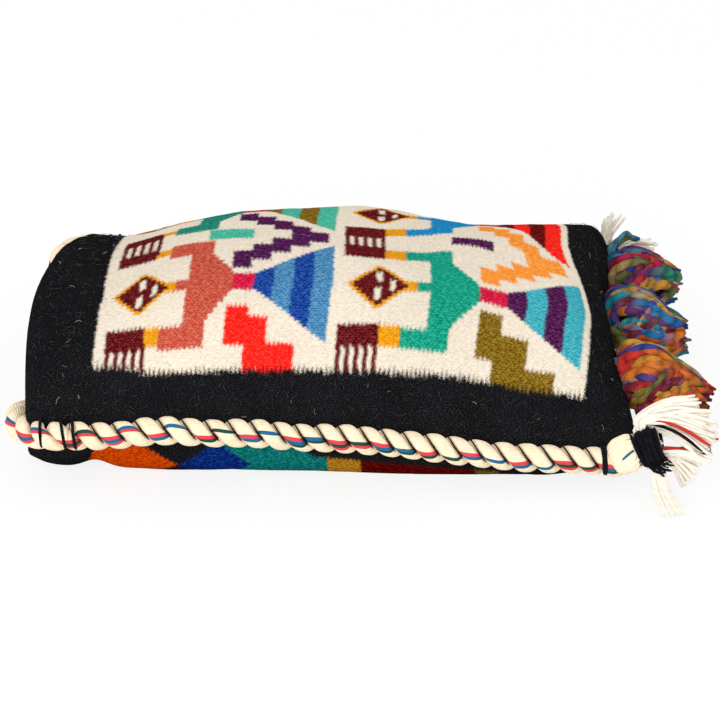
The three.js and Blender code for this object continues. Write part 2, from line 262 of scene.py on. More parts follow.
# Black thread over the ropes, and the heavier stitches near their ends: along, across and lean
THREAD = 0.42
THREAD_SPAN = (math.radians(-35), math.radians(200))
THREAD_REACH = (6.7, 5.0)
THREAD_SINK = (math.pi / 3, math.pi / 2)
THREAD_OVERHANG = 4
THREAD_POINTS = 24
WHIP = 0.8
WHIP_SPAN = (math.radians(-30), math.radians(215))
WHIP_OUT = 0.35
WHIP_UNEVEN = 0.25
WHIP_WAVES = 5
WHIP_POINTS = 26
WHIPS = (
    (-145, -119.6, 1), (-134.5, -122.5, 4), (-129, -122.5, 3), (131, -122.5, 1.5), (132.3, -122.5, 1),
)

# Yarns in general: up and away as the camera sees them, and how finely yarns and hairs are cut
VIEW_UP = np.array([0, 0.446, 0.895])
VIEW_AWAY = np.array([0, 0.895, -0.446])
AHEAD = np.array([1.0, 0, 0])
ACROSS = (0, 1, 0)
FIRST_SIDE = (0.3, 0.5, 0.8)
LINE_STEPS = 12
YARN_TAPER = 12
LAST_PLACE_ROUND = 0.999
POINTS_PER_TURN = 26
WIND_UNEVEN = 0.35
WIND_WAVES = 2.3
SPRAY_POINTS = 24
SPRAY_WIDTHS = (0.85, 1.1)
HAIR = 0.09
HAIR_HEIGHT = 0.1
HAIR_POINTS = 6
HAIR_MARGIN = 3
HAIR_LEAN = np.array([0, -0.4, 0.6])
HAIR_BEND = 0.6
HAIR_CURL = 0.7

# Cream tassels at the bottom corners: the rope's end swells, and black yarn binds it
COTTON_YARN = 0.95
NECK_ROUTE = ((135.5, 1), (145, 5.5), (155.5, 9), (163.5, 11.5))
NECK_RISE = {-1: 1, 1: 0}
SWELL_SHARES = (0, 0.08, 0.17, 0.34, 0.44, 0.52, 0.85)
SWELL_RADII = (3.6, 6.2, 7.6, 8.0, 6.8, 4.8, 4.2)
SWELL_YARNS = 18
SWELL_POINTS = 30
SWELL_SHOWN = 26
SWELL_YARN = 1.75
SWELL_TWIST = -1.3
STRIPE_YARN = 0.75
STRIPE_OUT = 1.3
STRIPE_PART = (6, 14)
PART_STEPS = 100
PART_STRIDE = 10
BINDING_SEED = 5
BINDING_YARN = 1.15
BINDING_WIDTHS = (0.6, 1)
BINDING_LAYERS = (
    (0.46, 0.95, 6.6, 8.5, 1), (0.46, 0.95, 7.6, 7.3, -1),
    (0.5, 0.9, 8.3, 4.7, 1), (0.55, 0.8, 8.7, 2.6, -1),
)
BARE_LAYERS = 2
BINDING_HAIRS = 500
BINDING_HAIR_LENGTHS = (1.5, 4)
STRAY_TURNS = 9
STRAY_STARTS = (0.42, 0.62)
STRAY_ENDS = (0.78, 0.98)
STRAY_RADII = (7.4, 9)
STRAY_COUNTS = (1, 2)
LOOSE_THREADS = 22
LOOSE_THREAD = 0.45
LOOSE_THREAD_POINTS = 12
LOOSE_THREAD_MARKS = 30
LOOSE_THREAD_FROM = ((-4, 4), -7, (-7, -3))
LOOSE_THREAD_TO = ((3, 11), (-3, 0), (-6, 0))
LOOSE_THREAD_BEND = (0, -1.5, (-2, 2))

# Loose yarns of the cream tassels; a pair among three values is a range to draw from
COTTON_SEED = 11
ROOT_STRAY = 1.5
FAN_YARNS = 56
FAN_MARKS = 100
FAN_FOLD = (-6.5, 7, 8.5)
FAN_FOLD_STRAY = 1.3
FAN_ANGLES = (29, -27)
FAN_ANGLE_STRAY = 2
FAN_SHARES = (0, 0.45, 0.8, 1)
FAN_REACHES = (28, 36.5, 38, 35)
FAN_REACH_STRAY = (-3, 1)
FAN_DEPTHS = (6, -7)
FAN_DEPTH_STRAY = 2
FAN_ARCH = (2.5, 5)
BUNCH_YARNS = 12
BUNCH_MARKS = 200
BUNCH_STARTS = np.array([(0, -4, -7), (5, -4, -7)])
BUNCH_START_STRAY = 0.7
BUNCH_BENDS = (156, 163)
BUNCH_BEND = (-133, 9)
BUNCH_TIPS = (160, 170)
BUNCH_TIP = ((-150, -146), 2)
SIDE_YARNS = 22
SIDE_MARKS = 220
SIDE_START = (5, 0, -3)
SIDE_START_STRAY = 1.2
SIDE_TIPS = np.array([(185, -122, 22), (172, -122, 2)])
SIDE_TIP_STRAY = 3
SIDE_LIFT = (0, 0, (0, 3))
STANDING_YARNS = 14
STANDING_MARKS = 100
STANDING_BEND = (-2, 0, 13)
STANDING_TIPS = (-3, 6)
STANDING_TIP = (0, (25, 30))
LYING_YARNS = 22
LYING_MARKS = 150
LYING_START = (3, 0, 2)
LYING_TIPS = (16, 27)
LYING_TIP = ((-8, 4), (6, 15))
LYING_LIFT = (0, 0, (2, 5))

# Many-coloured wool tassels along the bottom edge: place across, length and drop, and their dyes
WOOL_TASSEL_ROOT_GAP = -0.6
WOOL_TASSELS = {"near": (-0.46, 46, 15), "middle": (0.14, 43, 12), "far": (0.64, 38, 3)}
WOOL_YARN = 2.6
WOOL_WIDTHS = (0.85, 1.15)
WOOL_POINTS = 56
WOOL_SIDES = 8
WOOL_TIP = 0.3
DYE_LENGTH = 24
HANK_MARKS = 100
HUE_START = -0.27
HUE_STEP = 0.22
HUE_RANGE = 0.75

# Hanks of yarn that make up the wool tassels, folded over the stitch that holds them
TASSEL_CURVE = ((0, 0), (0.2, 0.02), (0.6, 0.55), (1, 1))
HANK_RADIUS = 15
HANK_SIDE = 20
HANK_OUTER = 15
HANK_INNER = 14
HANK_LOOPS = 8
HANK_CORE = 0.6
HANK_SWELL = 0.36
HANK_FOLD_WIDTH = 1.05
HANK_TIP = 0.34
HANK_LEAN = 9
HANK_POINTS = 41
HANK_LEAST_SHARE = 0.1
CORE_STATIONS = (0.03, 0.85, 16)
CORE_SIDES = 14
OUTER_PLACE = 0.96
OUTER_LAYERS = (0.94, 1.04)
INNER_PLACES = (-0.9, 0.9)
INNER_LAYERS = (0.15, 0.8)
FOLD_POINTS = 26
FOLD_CROWDING = 1.6
FOLD_TILT = 0.22
FOLD_TWIST = (-0.5, 0.5)
UPPER_TIPS = (0.7, 1)
LOWER_TIPS = (0.65, 0.98)
TIP_PARTING = 3
WAVE_RUNS = (4, 8)
WAVE_STARTS = (0, 6)
WAVE_SIZES = (0.6, 2)
LOOSE_YARNS = 4
LOOSE_POINTS = 7
LOOSE_SHARES = ((0.55, 0.85), (0.02, 0.2))
LOOSE_TURNS = ((0.35, 0.6), (0.9, 1.4))
LOOSE_LAYER = 1.06
LOOP_SHARES = (0.06, 0.3, 0.62, 0.9, 1, 0.9, 0.6, 0.28, 0.05)
LOOP_ANGLES = (-0.5, -0.9, -1.1, -0.8, 0, 0.8, 1.1, 0.9, 0.6)
LOOP_LENGTHS = (0.6, 0.95)
LOOP_TURNS = (0.1, 1.15)
LOOP_WIDTHS = (0.3, 0.6)
LOOP_LAYERS = (0.95, 1.1)
WOOL_HAIRS = 1700
HAIR_LENGTHS = (2.5, 4.5)

# Yarns between the wool tassels, and the stitches that hold these to the cloth
EDGE_LOOPS = 3
EDGE_LOOP_MARKS = 500
EDGE_LOOP_MARK_STEP = 10
EDGE_LOOP_ENDS = {"near": (-56, -93), "middle": (-4, -40), "far": (56, 30)}
EDGE_LOOP_OUT = (3, 8, 10, 8, 3)
EDGE_LOOP_SAG = (1, -5, -8, -5, 1)
EDGE_LOOP_SHIFT = (-4, 4)
EDGE_LOOP_OUTS = (0.7, 1.3)
EDGE_LOOP_SAGS = (0.2, 1)
EDGE_LOOP_LIFT = (-2, 4)
EDGE_LOOP_POINTS = 40
FAR_LOOPS = 4
FAR_TEAL_LOOPS = 2
FAR_LOOP_YARN = 1.5
FAR_LOOP_START = np.array([150, 76, 28])
FAR_LOOP_RISE = (2, 9, 11)
FAR_LOOP_TOP = (10, 17, 16)
FAR_LOOP_TIPS = np.array([(12, 23, 12), (19, 23, 12)])
STITCHED = {"near": 3, "middle": 0, "far": 3}
STITCH = 1.1
STITCH_PITCH = 2.3
STITCH_LENGTHS = (7, 5.5, 3, 0)
STITCH_SEARCH = (1, 0.9, 400)
STITCH_OUT = (0.8, 0, 0.5)
STITCH_END = (4, 0, -4)
STITCH_POINTS = 20

# Stray fibres and lint on the black border of the front panel
FIBRE_SEED = 21
FIBRES = 900
LINT = 45
FIBRE = 0.08
FIBRE_POINTS = 7
FIBRE_LENGTHS = (2, 6)
FIBRE_BENDS = (-0.7, 0.7)
FIBRE_ROOT = -0.2
FIBRE_RISE = 0.6
FIBRE_TIPS = (0.3, 0.9)
FIBRE_REACHES = (0.3, 0.7)
FIBRE_ROWS = slice(4, -2)
FIBRE_COLUMNS = slice(1, -1)

# Marks of single yarns that have a colour of their own, and the first mark of the wool tassels' cores,
# which are painted in a shadow colour as painted shade between the yarns
RED_YARN = 1
DARK_YARN = 2
GREEN_YARN = 3
BLUE_YARN = 4
TEAL_YARNS = 10
SWELL_MARKS = 20
SHADED_CORE_MARKS = 1000

# Floor, light and surroundings, in metres
FLOOR_SIZE = 12
FLOOR_CORNERS = ((-1, -1), (1, -1), (1, 1), (-1, 1))
FLOOR_DEPTH = 0.0004
FLOOR_GLOW = 0.85
AMBIENT = 0.92
KEY_POWER = 30
KEY_SIZE = 1.6
KEY_PLACE = (-0.6, -2.1, 1.0)


def dye(red, green, blue):
    """A colour as it looks on a screen, turned into the shader's linear values."""
    def linear(level):
        share = level / 255
        return share / 12.92 if share < 0.04045 else ((share + 0.055) / 1.055) ** 2.4
    return (linear(red), linear(green), linear(blue), 1)


# Dyes and other colours
CREAM_WOOL = dye(229, 219, 203)
BLACK_WOOL = dye(17, 17, 19)
MAROON = dye(112, 38, 42)
GOLD = dye(226, 164, 40)
SALMON = dye(199, 102, 83)
CRIMSON = dye(208, 46, 84)
DARK_BLUE = dye(44, 84, 158)
LIGHT_BLUE = dye(92, 145, 182)
RED = dye(240, 56, 46)
PURPLE = dye(94, 44, 92)
GREEN = dye(42, 164, 140)
TEAL_GREEN = dye(52, 146, 126)
MINT = dye(90, 186, 162)
OLIVE = dye(140, 114, 42)
ORANGE = dye(240, 160, 74)
CYAN = dye(82, 176, 188)
BRIGHT_BLUE = dye(46, 148, 194)
DARK_RED = dye(118, 32, 32)
COTTON = dye(252, 234, 202)
WARM_COTTON = dye(236, 206, 164)
COTTON_WHITE = dye(244, 236, 222)
ROPE_BLUE = dye(40, 102, 142)
ROPE_RED = dye(226, 70, 74)
ROPE_GREEN = dye(38, 74, 68)
BACK_ORANGE = dye(195, 82, 10)
BACK_BLUE = dye(22, 56, 126)
BACK_TEAL = dye(26, 124, 120)
BACK_GOLD = dye(175, 130, 42)
BACK_RED = dye(98, 14, 14)
BACK_OLIVE = dye(120, 100, 40)
BLACK_YARN = dye(20, 20, 24)
FUZZ_GREY = dye(74, 75, 77)
FIBRE_GREY = dye(84, 85, 87)
LINT_WHITE = dye(214, 212, 206)
TASSEL_DYES = (
    dye(192, 40, 82), dye(206, 52, 50), dye(212, 98, 54), dye(232, 126, 46), dye(226, 170, 66),
    dye(214, 152, 56), dye(198, 164, 104), dye(112, 56, 120), dye(126, 40, 58), dye(52, 76, 160),
    dye(40, 128, 188), dye(34, 148, 162), dye(44, 140, 108), dye(104, 112, 60),
)
TASSEL_TEAL = dye(24, 150, 176)
WOOL_DUST = dye(120, 108, 104)
WOOL_SHADOW = dye(44, 26, 34)
TASSEL_RED = dye(200, 52, 46)
FLOOR_COLOUR = dye(250, 250, 250)
WHITE = (1, 1, 1, 1)

# Single yarns of another colour: mark and dye, and mark, share and nearness in the fan
SINGLE_DYES = (
    (RED_YARN, TASSEL_RED), (DARK_YARN, BLACK_YARN), (GREEN_YARN, ROPE_GREEN), (BLUE_YARN, ROPE_BLUE),
)
FAN_SINGLES = ((DARK_YARN, 0.93, 2), (RED_YARN, 0.7, 1.5), (RED_YARN, 0.83, 2))
SIDE_SINGLES = (GREEN_YARN, RED_YARN, DARK_YARN, BLUE_YARN)

# Design of the back panel: bands across it, black wedges that point away from the seam, and a black edge
BACK_BANDS = ((78, BACK_BLUE), (92, BACK_TEAL), (155, BACK_GOLD), (172, BACK_RED), (231, BACK_OLIVE))
BACK_START = 32
BACK_END = 243
WEDGES = ((78, 31), (32, 6))
WEDGE_REACH = 26
TEAL_SLANT = 0.9
BLACK_EDGE = 16
BLACK_EDGE_START = 132

# How matt the pieces are
WOOL_SHINE = {"Roughness": 1.0, "Specular_IOR_Level": 0.0}
COTTON_SHINE = {"Roughness": 0.95, "Specular_IOR_Level": 0.1}
THREAD_SHINE = {"Roughness": 1.0, "Specular_IOR_Level": 0.1}
FLOOR_SHINE = {"Roughness": 0.9, "Specular_IOR_Level": 0.0}


def operator(operation, swapped=False):
    """A method that adds one Math node for one of Python's operators."""
    def act(self, other):
        pair = (other, self) if swapped else (self, other)
        return self.math(operation, *pair)
    return act


class Wire:
    """One socket of a node tree; Python's operators on it add Math nodes."""

    def __init__(self, nodes, socket):
        self.nodes = nodes
        self.socket = socket

    def math(self, operation, *values):
        return self.nodes.node("ShaderNodeMath", {"operation": operation}, dict(enumerate(values)))

    __add__ = __radd__ = operator("ADD")
    __sub__ = operator("SUBTRACT")
    __rsub__ = operator("SUBTRACT", swapped=True)
    __mul__ = __rmul__ = operator("MULTIPLY")
    __truediv__ = operator("DIVIDE")
    __rtruediv__ = operator("DIVIDE", swapped=True)
    __pow__ = operator("POWER")
    __mod__ = operator("FLOORED_MODULO")
    __gt__ = operator("GREATER_THAN")
    __lt__ = operator("LESS_THAN")
    __and__ = operator("MINIMUM")
    __or__ = operator("MAXIMUM")

    def __abs__(self):
        return self.math("ABSOLUTE", self)

    def floor(self):
        return self.math("FLOOR", self)

    def sine(self):
        return self.math("SINE", self)

    def between(self, low, high):
        return (self > low) & (self < high)

    def clamped(self):
        return (self | 0) & 1


def set_stops(ramp, stops):
    """Gives a colour ramp plain steps of colour."""
    ramp.interpolation = "CONSTANT"
    while len(ramp.elements) < len(stops):
        ramp.elements.new(1)
    for element, (place, colour) in zip(ramp.elements, stops):
        element.position = place
        element.color = colour


class Nodes:
    """A node tree in the making."""

    def __init__(self, tree):
        self.tree = tree

    def node(self, kind, settings=None, sockets=None, output=0):
        """Any node: its settings are set first, then the values or links of its sockets."""
        made = self.tree.nodes.new(kind)
        for name, value in (settings or {}).items():
            if name == "stops":
                set_stops(made.color_ramp, value)
            else:
                setattr(made, name, value)
        for key, value in (sockets or {}).items():
            self.join(value, made.inputs[key])
        return Wire(self, made.outputs[output])

    def join(self, value, socket):
        if isinstance(value, Wire):
            self.tree.links.new(value.socket, socket)
        else:
            socket.default_value = value

    def white_rays(self):
        """1 for the rays that should meet plain white: seen, mirrored or let through."""
        kinds = ("Is Camera Ray", "Is Glossy Ray", "Is Transmission Ray")
        seen, mirrored, through = [self.node("ShaderNodeLightPath", {}, {}, kind) for kind in kinds]
        return seen | mirrored | through


class Finish(Nodes):
    """A material in the making, round one Principled shader."""

    def __init__(self, name, **constants):
        self.material = bpy.data.materials.new(name)
        self.material.use_nodes = True
        super().__init__(self.material.node_tree)
        self.shader = self.tree.nodes["Principled BSDF"]
        for label, value in constants.items():
            self.shader.inputs[label.replace("_", " ")].default_value = value

    def feed(self, label, value):
        self.join(value, self.shader.inputs[label])

    def places(self, map_name):
        """The two values that a named map holds, as a pair of wires."""
        pair = self.node("ShaderNodeUVMap", {"uv_map": map_name})
        return [self.node("ShaderNodeSeparateXYZ", {}, {0: pair}, axis) for axis in (0, 1)]

    def cell(self, first, second):
        """A random value between 0 and 1 for each pair of whole numbers."""
        pair = self.node("ShaderNodeCombineXYZ", {}, {0: first, 1: second})
        return self.node("ShaderNodeTexWhiteNoise", {"noise_dimensions": "2D"}, {"Vector": pair})

    def cloud(self, first, second, scale, detail=2.0):
        """Soft noise between 0 and 1 over two values."""
        pair = self.node("ShaderNodeCombineXYZ", {}, {0: first, 1: second})
        sockets = {"Vector": pair, "Scale": scale, "Detail": detail}
        return self.node("ShaderNodeTexNoise", {"noise_dimensions": "2D"}, sockets)

    def paint(self, under, over, mask):
        return self.node("ShaderNodeMix", {"data_type": "RGBA"}, {0: mask, 6: under, 7: over}, 2)

    def shade(self, colour, level):
        settings = {"data_type": "RGBA", "blend_type": "MULTIPLY"}
        return self.node("ShaderNodeMix", settings, {0: 1.0, 6: colour, 7: level}, 2)

    def deepen(self, colour, power):
        return self.node("ShaderNodeGamma", {}, {"Color": colour, "Gamma": power})

    def cover(self, colour, height, depth):
        """Feeds the colour, and a bump of the given depth."""
        self.feed("Base Color", colour)
        sockets = {"Height": height, "Distance": depth * MM, "Strength": 1.0}
        self.feed("Normal", self.node("ShaderNodeBump", {}, sockets))


def weave(finish, along, across):
    """Height of the bumps of weft, laid like bricks, each a little different."""
    wander = finish.cloud(along, across, 0.35, 3.0) * 1.6
    across = across + wander
    row = (across / WEFT_ROW).floor()
    shifted = along / WEFT_BUMP + (row % 2) * 0.5 + wander * 0.6
    bump = finish.cell(shifted.floor(), row)
    height = abs((shifted * math.pi).sine()) * abs((across * (math.pi / WEFT_ROW)).sine())
    return height ** 0.5 * (bump * 0.35 + 0.7)


def combed(finish, along, across, tooth_length):
    """Places across, pushed to and fro by the interlocking teeth where two colours meet."""
    step = along / TOOTH_PITCH + finish.cloud(along, across, 0.12) * 0.8
    from_tip = abs(step % 1 - 0.5) * 2
    spike = 1 - (1 - from_tip) ** TOOTH_SHARPNESS * 2
    reach = (finish.cell(step.floor(), (across / 14).floor()) * 1.1 + 0.45) * (tooth_length / 2)
    fuzz = (finish.cloud(along, across, 0.9) - 0.5) * 0.9
    return across + spike * reach + fuzz


def wool_cloth(name, colour_of):
    """Finish of a woven panel, given a function that colours the flat cloth, with painted shade in the gaps
    between the weft bumps.
    """
    finish = Finish(name, **WOOL_SHINE)
    along, across = finish.places("cloth")
    stray = finish.cloud(along, across, 2.2, 3.0)
    wisps = finish.cloud(across, along, 2.2, 3.0)
    dyed, black = colour_of(finish, along + (wisps - 0.5) * WISP, across + (stray - 0.5) * WISP)
    height = weave(finish, along, across)
    patches = finish.cloud(along, across, 0.05)
    fibre = finish.cloud(along * 1.4, across * 1.4, 1.0, 4.0)
    level = (patches * 0.08 + 0.96) * (fibre * 0.14 + 0.93)
    # Painted shade: the colour is darkened in the gaps between weft bumps where this mask opens them; the
    # fibre term adds a random tone
    gap_shade_mask = (finish.cloud(along, across * 1.3, 0.45) * 2.6 - 0.7).clamped()
    depth = (1 - height).clamped() * gap_shade_mask + (fibre - 0.5) * FIBRE_DEPTH + 0.95
    dyed = finish.deepen(finish.shade(dyed, level), depth)
    haze = ((finish.cloud(along * 0.9, across * 2.2, 1.1, 5.0) - 0.52) * 2.2).clamped()
    speckle = finish.cloud(along, across * 1.5, 2.4, 1.0)
    # Painted shade on the black wool: darker in the gaps between weft bumps, besides random patches and
    # speckle
    nap_and_gap_shade = (height * 0.7 + 0.6) * (patches * 0.6 + 0.7) * (speckle * 2.4 - 0.2)
    fuzz = finish.shade(finish.paint(BLACK_WOOL, FUZZ_GREY, haze), nap_and_gap_shade)
    finish.cover(finish.paint(dyed, fuzz, black), height * 0.4 + fibre, 0.14)
    return finish


def front_colour(finish, along, across):
    """Two rows of two figures on a cream field, and the black border round it."""
    column = along > COLUMN_SPLIT
    row = across > ROW_SPLIT
    toothed = combed(finish, along, across, TOOTH_LENGTH)
    spiked = combed(finish, along, across, BORDER_TOOTH_LENGTH)
    ragged = (finish.cloud(along, across, 0.7) - 0.5) * EDGE_STEP
    across = across + ragged
    along = along + (finish.cell((across / WEFT_ROW).floor(), 3) - 0.5) * EDGE_STEP + ragged
    stepped = (along / TOOTH_PITCH).floor() * TOOTH_PITCH
    middle = row * (FAR_ROW - NEAR_ROW) + NEAR_ROW
    off = abs(toothed - middle)
    plain_off = abs(across - middle)
    outward = abs(across - ROW_SPLIT) > (FAR_ROW - NEAR_ROW) / 2
    inward = 1 - outward

    def place(pair):
        first, second = pair
        return first if first == second else column * (second - first) + first

    def stretch(start, end):
        return along.between(place(start), place(end))

    def block(start, end, inner, outer):
        return stretch(start, end) & off.between(place(inner), place(outer))

    def by_cell(near_first, near_second, far_first, far_second):
        near = finish.paint(near_first, near_second, column)
        far = finish.paint(far_first, far_second, column)
        return finish.paint(near, far, row)

    body = by_cell(SALMON, GREEN, TEAL_GREEN, BRIGHT_BLUE)
    skirt_dark = by_cell(DARK_BLUE, PURPLE, OLIVE, DARK_RED)
    skirt_light = by_cell(LIGHT_BLUE, CYAN, MINT, RED)
    outer_dye = by_cell(RED, OLIVE, ORANGE, PURPLE)
    inner_dye = finish.paint(PURPLE, ORANGE, column)
    tie_dye = finish.paint(MINT, PURPLE, column)

    # Stepped shapes beside the skirts
    blocks = block(*LOW_BLOCK) | block(*MID_BLOCK) | block(*HIGH_BLOCK)
    colour = finish.paint(CREAM_WOOL, outer_dye, blocks & outward)
    stair = ((along - place(STAIRS_START)) / STAIR_LENGTH).floor()
    rise = stair * STAIR_RISE
    stairs = stair.between(-0.5, STAIRS - 0.5) & off.between(rise + STAIR_INNER, rise + STAIR_OUTER)
    colour = finish.paint(colour, inner_dye, stairs & inward)
    colour = finish.paint(colour, tie_dye, block(*TIE) & inward)

    # Skirt in bands, waist, body and arms
    skirt_share = (along - place(SKIRT_START)) / place(SKIRT_LENGTH)
    skirt_step = (stepped - place(SKIRT_START)) / place(SKIRT_LENGTH)
    spread = row * place(FAR_SKIRT_SPREAD) + SKIRT_SPREAD
    skirt = skirt_share.between(0, 1) & (plain_off < skirt_step * spread + WAIST_EDGE[0])
    band = (skirt_share * SKIRT_BANDS).floor() % 2
    colour = finish.paint(colour, finish.paint(skirt_dark, skirt_light, band), skirt)
    torso_share = (stepped - place(TORSO_START)) / place(TORSO_LENGTH)
    torso_half = TORSO_HALF - torso_share * (TORSO_HALF - WAIST_EDGE[0])
    torso = stretch(TORSO_START, TORSO_END) & (plain_off < torso_half)
    colour = finish.paint(colour, body, torso | block(*BAR) | block(*ARM) | block(*NECK))
    colour = finish.paint(colour, CRIMSON, block(*WAIST))

    # Hands and wrists
    narrower = inward * place(INWARD_NARROWER)
    wrist = stretch(WRIST_START, WRIST_END) & off.between(narrower + WRIST_INNER, WRIST_OUTER)
    colour = finish.paint(colour, GOLD, wrist | block(*THROAT))
    count = (along - place(FINGER_START)) / place(FINGER_PITCH)
    finger = count.between(0, FINGERS) & (count % 1 < FINGER_SHARE) & off.between(*FINGER_ACROSS)
    knuckles = inward * place(INWARD_KNUCKLES) + place(KNUCKLES)
    palm = stretch(PALM_START, WRIST_START) & off.between(narrower + PALM_INNER, knuckles)
    colour = finish.paint(colour, MAROON, finger | palm)

    # Head with its gold outline, eyes and mouth
    ahead = along - place(HEAD_MIDDLE)
    stepped_ahead = abs(stepped + TOOTH_PITCH / 2 - place(HEAD_MIDDLE))
    head = stepped_ahead / place(HEAD_HALF_LENGTH) + plain_off / HEAD_HALF
    colour = finish.paint(colour, GOLD, head < 1)
    colour = finish.paint(colour, MAROON, head < FACE_SHARE)
    eye = ahead.between(*EYE_ALONG) & off.between(*EYE_ACROSS)
    lips = ahead.between(*LIPS_ALONG) & (off < LIPS_HALF)
    colour = finish.paint(colour, CREAM_WOOL, eye | lips)

    for dip, reach, depth in BORDER_DIPS:
        spiked = spiked + (1 - ((along - dip) / reach) ** 2).clamped() * depth * (1 - row)
    field = along.between(*FIELD_ALONG) & spiked.between(*FIELD_ACROSS)
    return colour, 1 - field


def back_colour(finish, along, across):
    """Bands of colour, and the black wedges and edges over them; the same from either seam."""
    toothed = combed(finish, along, across, TOOTH_LENGTH)
    inward = FLAT_WIDTH / 2 - abs(toothed - FLAT_WIDTH / 2)
    from_seam = abs((inward / WEDGE_REACH + 1) % 2 - 1) * WEDGE_REACH
    colour = BACK_ORANGE
    for start, band in BACK_BANDS:
        place = along - from_seam * TEAL_SLANT if band is BACK_TEAL else along
        colour = finish.paint(colour, band, place > start)
    black = 1 - along.between(BACK_START, BACK_END)
    for row, half in WEDGES:
        black = black | (abs(along - row) / half + from_seam / WEDGE_REACH < 1)
    edge = (along - BLACK_EDGE_START) & BLACK_EDGE
    return colour, black | (inward < edge)


def yarn_finish(name, shine):
    """A finish for yarns, and the places along and round them."""
    finish = Finish(name, **shine)
    return (finish, *finish.places("yarn"))


def rope_finish():
    """Cream cotton; a few red, blue and green yarns run along the rope and show on each lobe."""
    finish, along, turned = yarn_finish("cotton_rope", COTTON_SHINE)
    strand = turned.floor() % 2
    angle = turned % 1
    lobe = ((along - seam_start) / ROPE_LAY + strand * 0.5 + SEEN_SIDE).floor()
    sunk = ((along - STRIPE_SINK[0]) / STRIPE_SINK[1]).clamped() | strand
    uneven = (finish.cell(lobe, 7) - 0.5) * 0.06 + (along / 3.1).sine() * 0.008
    side = (angle - STRIPE_HIGH - sunk * (STRIPE_LOW - STRIPE_HIGH) - uneven) / STRIPE
    second = finish.paint(ROPE_GREEN, ROPE_BLUE, finish.cell(lobe, 8) > 0.45)
    third = finish.paint(ROPE_RED, ROPE_GREEN, finish.cell(lobe, 9) > 0.6)
    patches = finish.cloud(along * 0.2, turned * 9, 1.0)
    cotton = finish.paint(COTTON, WARM_COTTON, ((patches - 0.42) * 3).clamped() * 0.4)
    colour = finish.paint(cotton, ROPE_RED, side.between(-1, 0) & strand)
    colour = finish.paint(colour, second, side.between(0, 1))
    colour = finish.paint(colour, third, side.between(1, 1.8) & (finish.cell(lobe, 10) > 0.4))
    streaks = finish.cloud(along * 0.35, turned * 90, 1.0)
    ridge = (angle * (FULL_TURN * ROPE_YARNS)).sine()
    # Painted shade: a faint darkening between the yarns round each strand, besides random streaks
    level = (streaks * 0.2 + 0.9) * (ridge * 0.02 + 0.98)
    finish.cover(finish.shade(colour, level), ridge * 0.5 + streaks, 0.22)
    return finish


def twisted(along, turned, pitch):
    """Height of two plies twisted round each other along a yarn."""
    return abs(((turned % 1) * (FULL_TURN / 2) + along * (FULL_TURN / 2 / pitch)).sine())


def cotton_finish():
    """Loose cotton yarns, nearly all cream, with a few red, black, green and blue ones."""
    finish, along, turned = yarn_finish("cotton_yarn", COTTON_SHINE)
    yarn = turned.floor()
    colour = finish.paint(COTTON, COTTON_WHITE, yarn > SWELL_MARKS + SWELL_YARNS)
    for mark, single in SINGLE_DYES:
        colour = finish.paint(colour, single, yarn.between(mark - 0.5, mark + 0.5))
    ply = twisted(along, turned, 5)
    streaks = finish.cloud(along * 0.2, turned * 12, 1.0)
    # Painted shade: a little darker in the grooves between the two plies, besides a random tone for each
    # yarn and streaks
    level = (finish.cell(yarn, 3) * 0.08 + 0.93) * (ply * 0.05 + 0.96) * (streaks * 0.12 + 0.94)
    finish.cover(finish.shade(colour, level), ply + streaks, 0.15)
    return finish


def dyed_finish():
    """Soft wool yarn whose dye changes every two centimetres or so, with painted shade in the grooves
    between its plies and on the dark core of each hank.
    """
    finish, along, turned = yarn_finish("dyed_yarn", WOOL_SHINE)
    yarn = turned.floor()
    length = along / DYE_LENGTH + finish.cell(yarn, 1) * 7
    part = length.floor()
    stops = [(place / len(TASSEL_DYES), colour) for place, colour in enumerate(TASSEL_DYES)]
    hues = (yarn / HANK_MARKS).floor() * HUE_STEP + HUE_START

    def dyed(number, offset):
        hue = (finish.cell(number, yarn + offset) * HUE_RANGE + hues) % 1
        return finish.node("ShaderNodeValToRGB", {"stops": stops}, {0: hue})

    streaks = finish.cloud(along * 0.3, turned * 14, 1.0, 3.0)
    blend = ((length % 1) * 1.8 - 0.8 + (streaks - 0.5) * 0.6).clamped()
    colour = finish.paint(dyed(part, 0), dyed(part + 1, 0), blend)
    colour = finish.paint(colour, dyed(part, 0.5), ((streaks - 0.5) * 2).clamped() * 0.3)
    colour = finish.paint(colour, TASSEL_TEAL, (yarn < TEAL_YARNS) * 0.85)
    ply = twisted(along, turned, 9)
    fibres = finish.cloud(along * 0.5, turned * 40, 1.0, 4.0)
    # Painted shade: each wool tassel's core is painted in a shadow colour, so the gaps between its yarns
    # look shaded
    colour = finish.paint(colour, WOOL_SHADOW, yarn > SHADED_CORE_MARKS - 1)
    # Painted shade: much darker in the grooves between the two plies, besides random fibres
    level = (ply * 0.55 + 0.47) * (fibres * 0.8 + 0.6)
    colour = finish.shade(finish.paint(colour, WOOL_DUST, 0.05), level)
    finish.cover(colour, ply * 0.5 + fibres * 1.5, 0.6)
    return finish


def black_yarn_finish():
    finish, along, turned = yarn_finish("black_yarn", THREAD_SHINE)
    ply = twisted(along, turned, 5)
    fibres = finish.cloud(along * 0.5, turned * 30, 1.0, 4.0)
    # Painted shade: darker in the grooves between the two plies, besides random fibres
    finish.cover(finish.shade(BLACK_YARN, ply * 0.5 + fibres * 0.8 + 0.4), ply + fibres, 0.35)
    return finish


def fuzz_finish():
    """Stray fibres, mostly dark, and a little pale lint."""
    finish, along, turned = yarn_finish("stray_fibres", WOOL_SHINE)
    number = turned.floor()
    colour = finish.paint(FIBRE_GREY, LINT_WHITE, number < LINT)
    colour = finish.shade(colour, finish.cell(number, 5) * 0.6 + 0.5)
    finish.cover(colour, twisted(along, turned, 2), 0.05)
    return finish


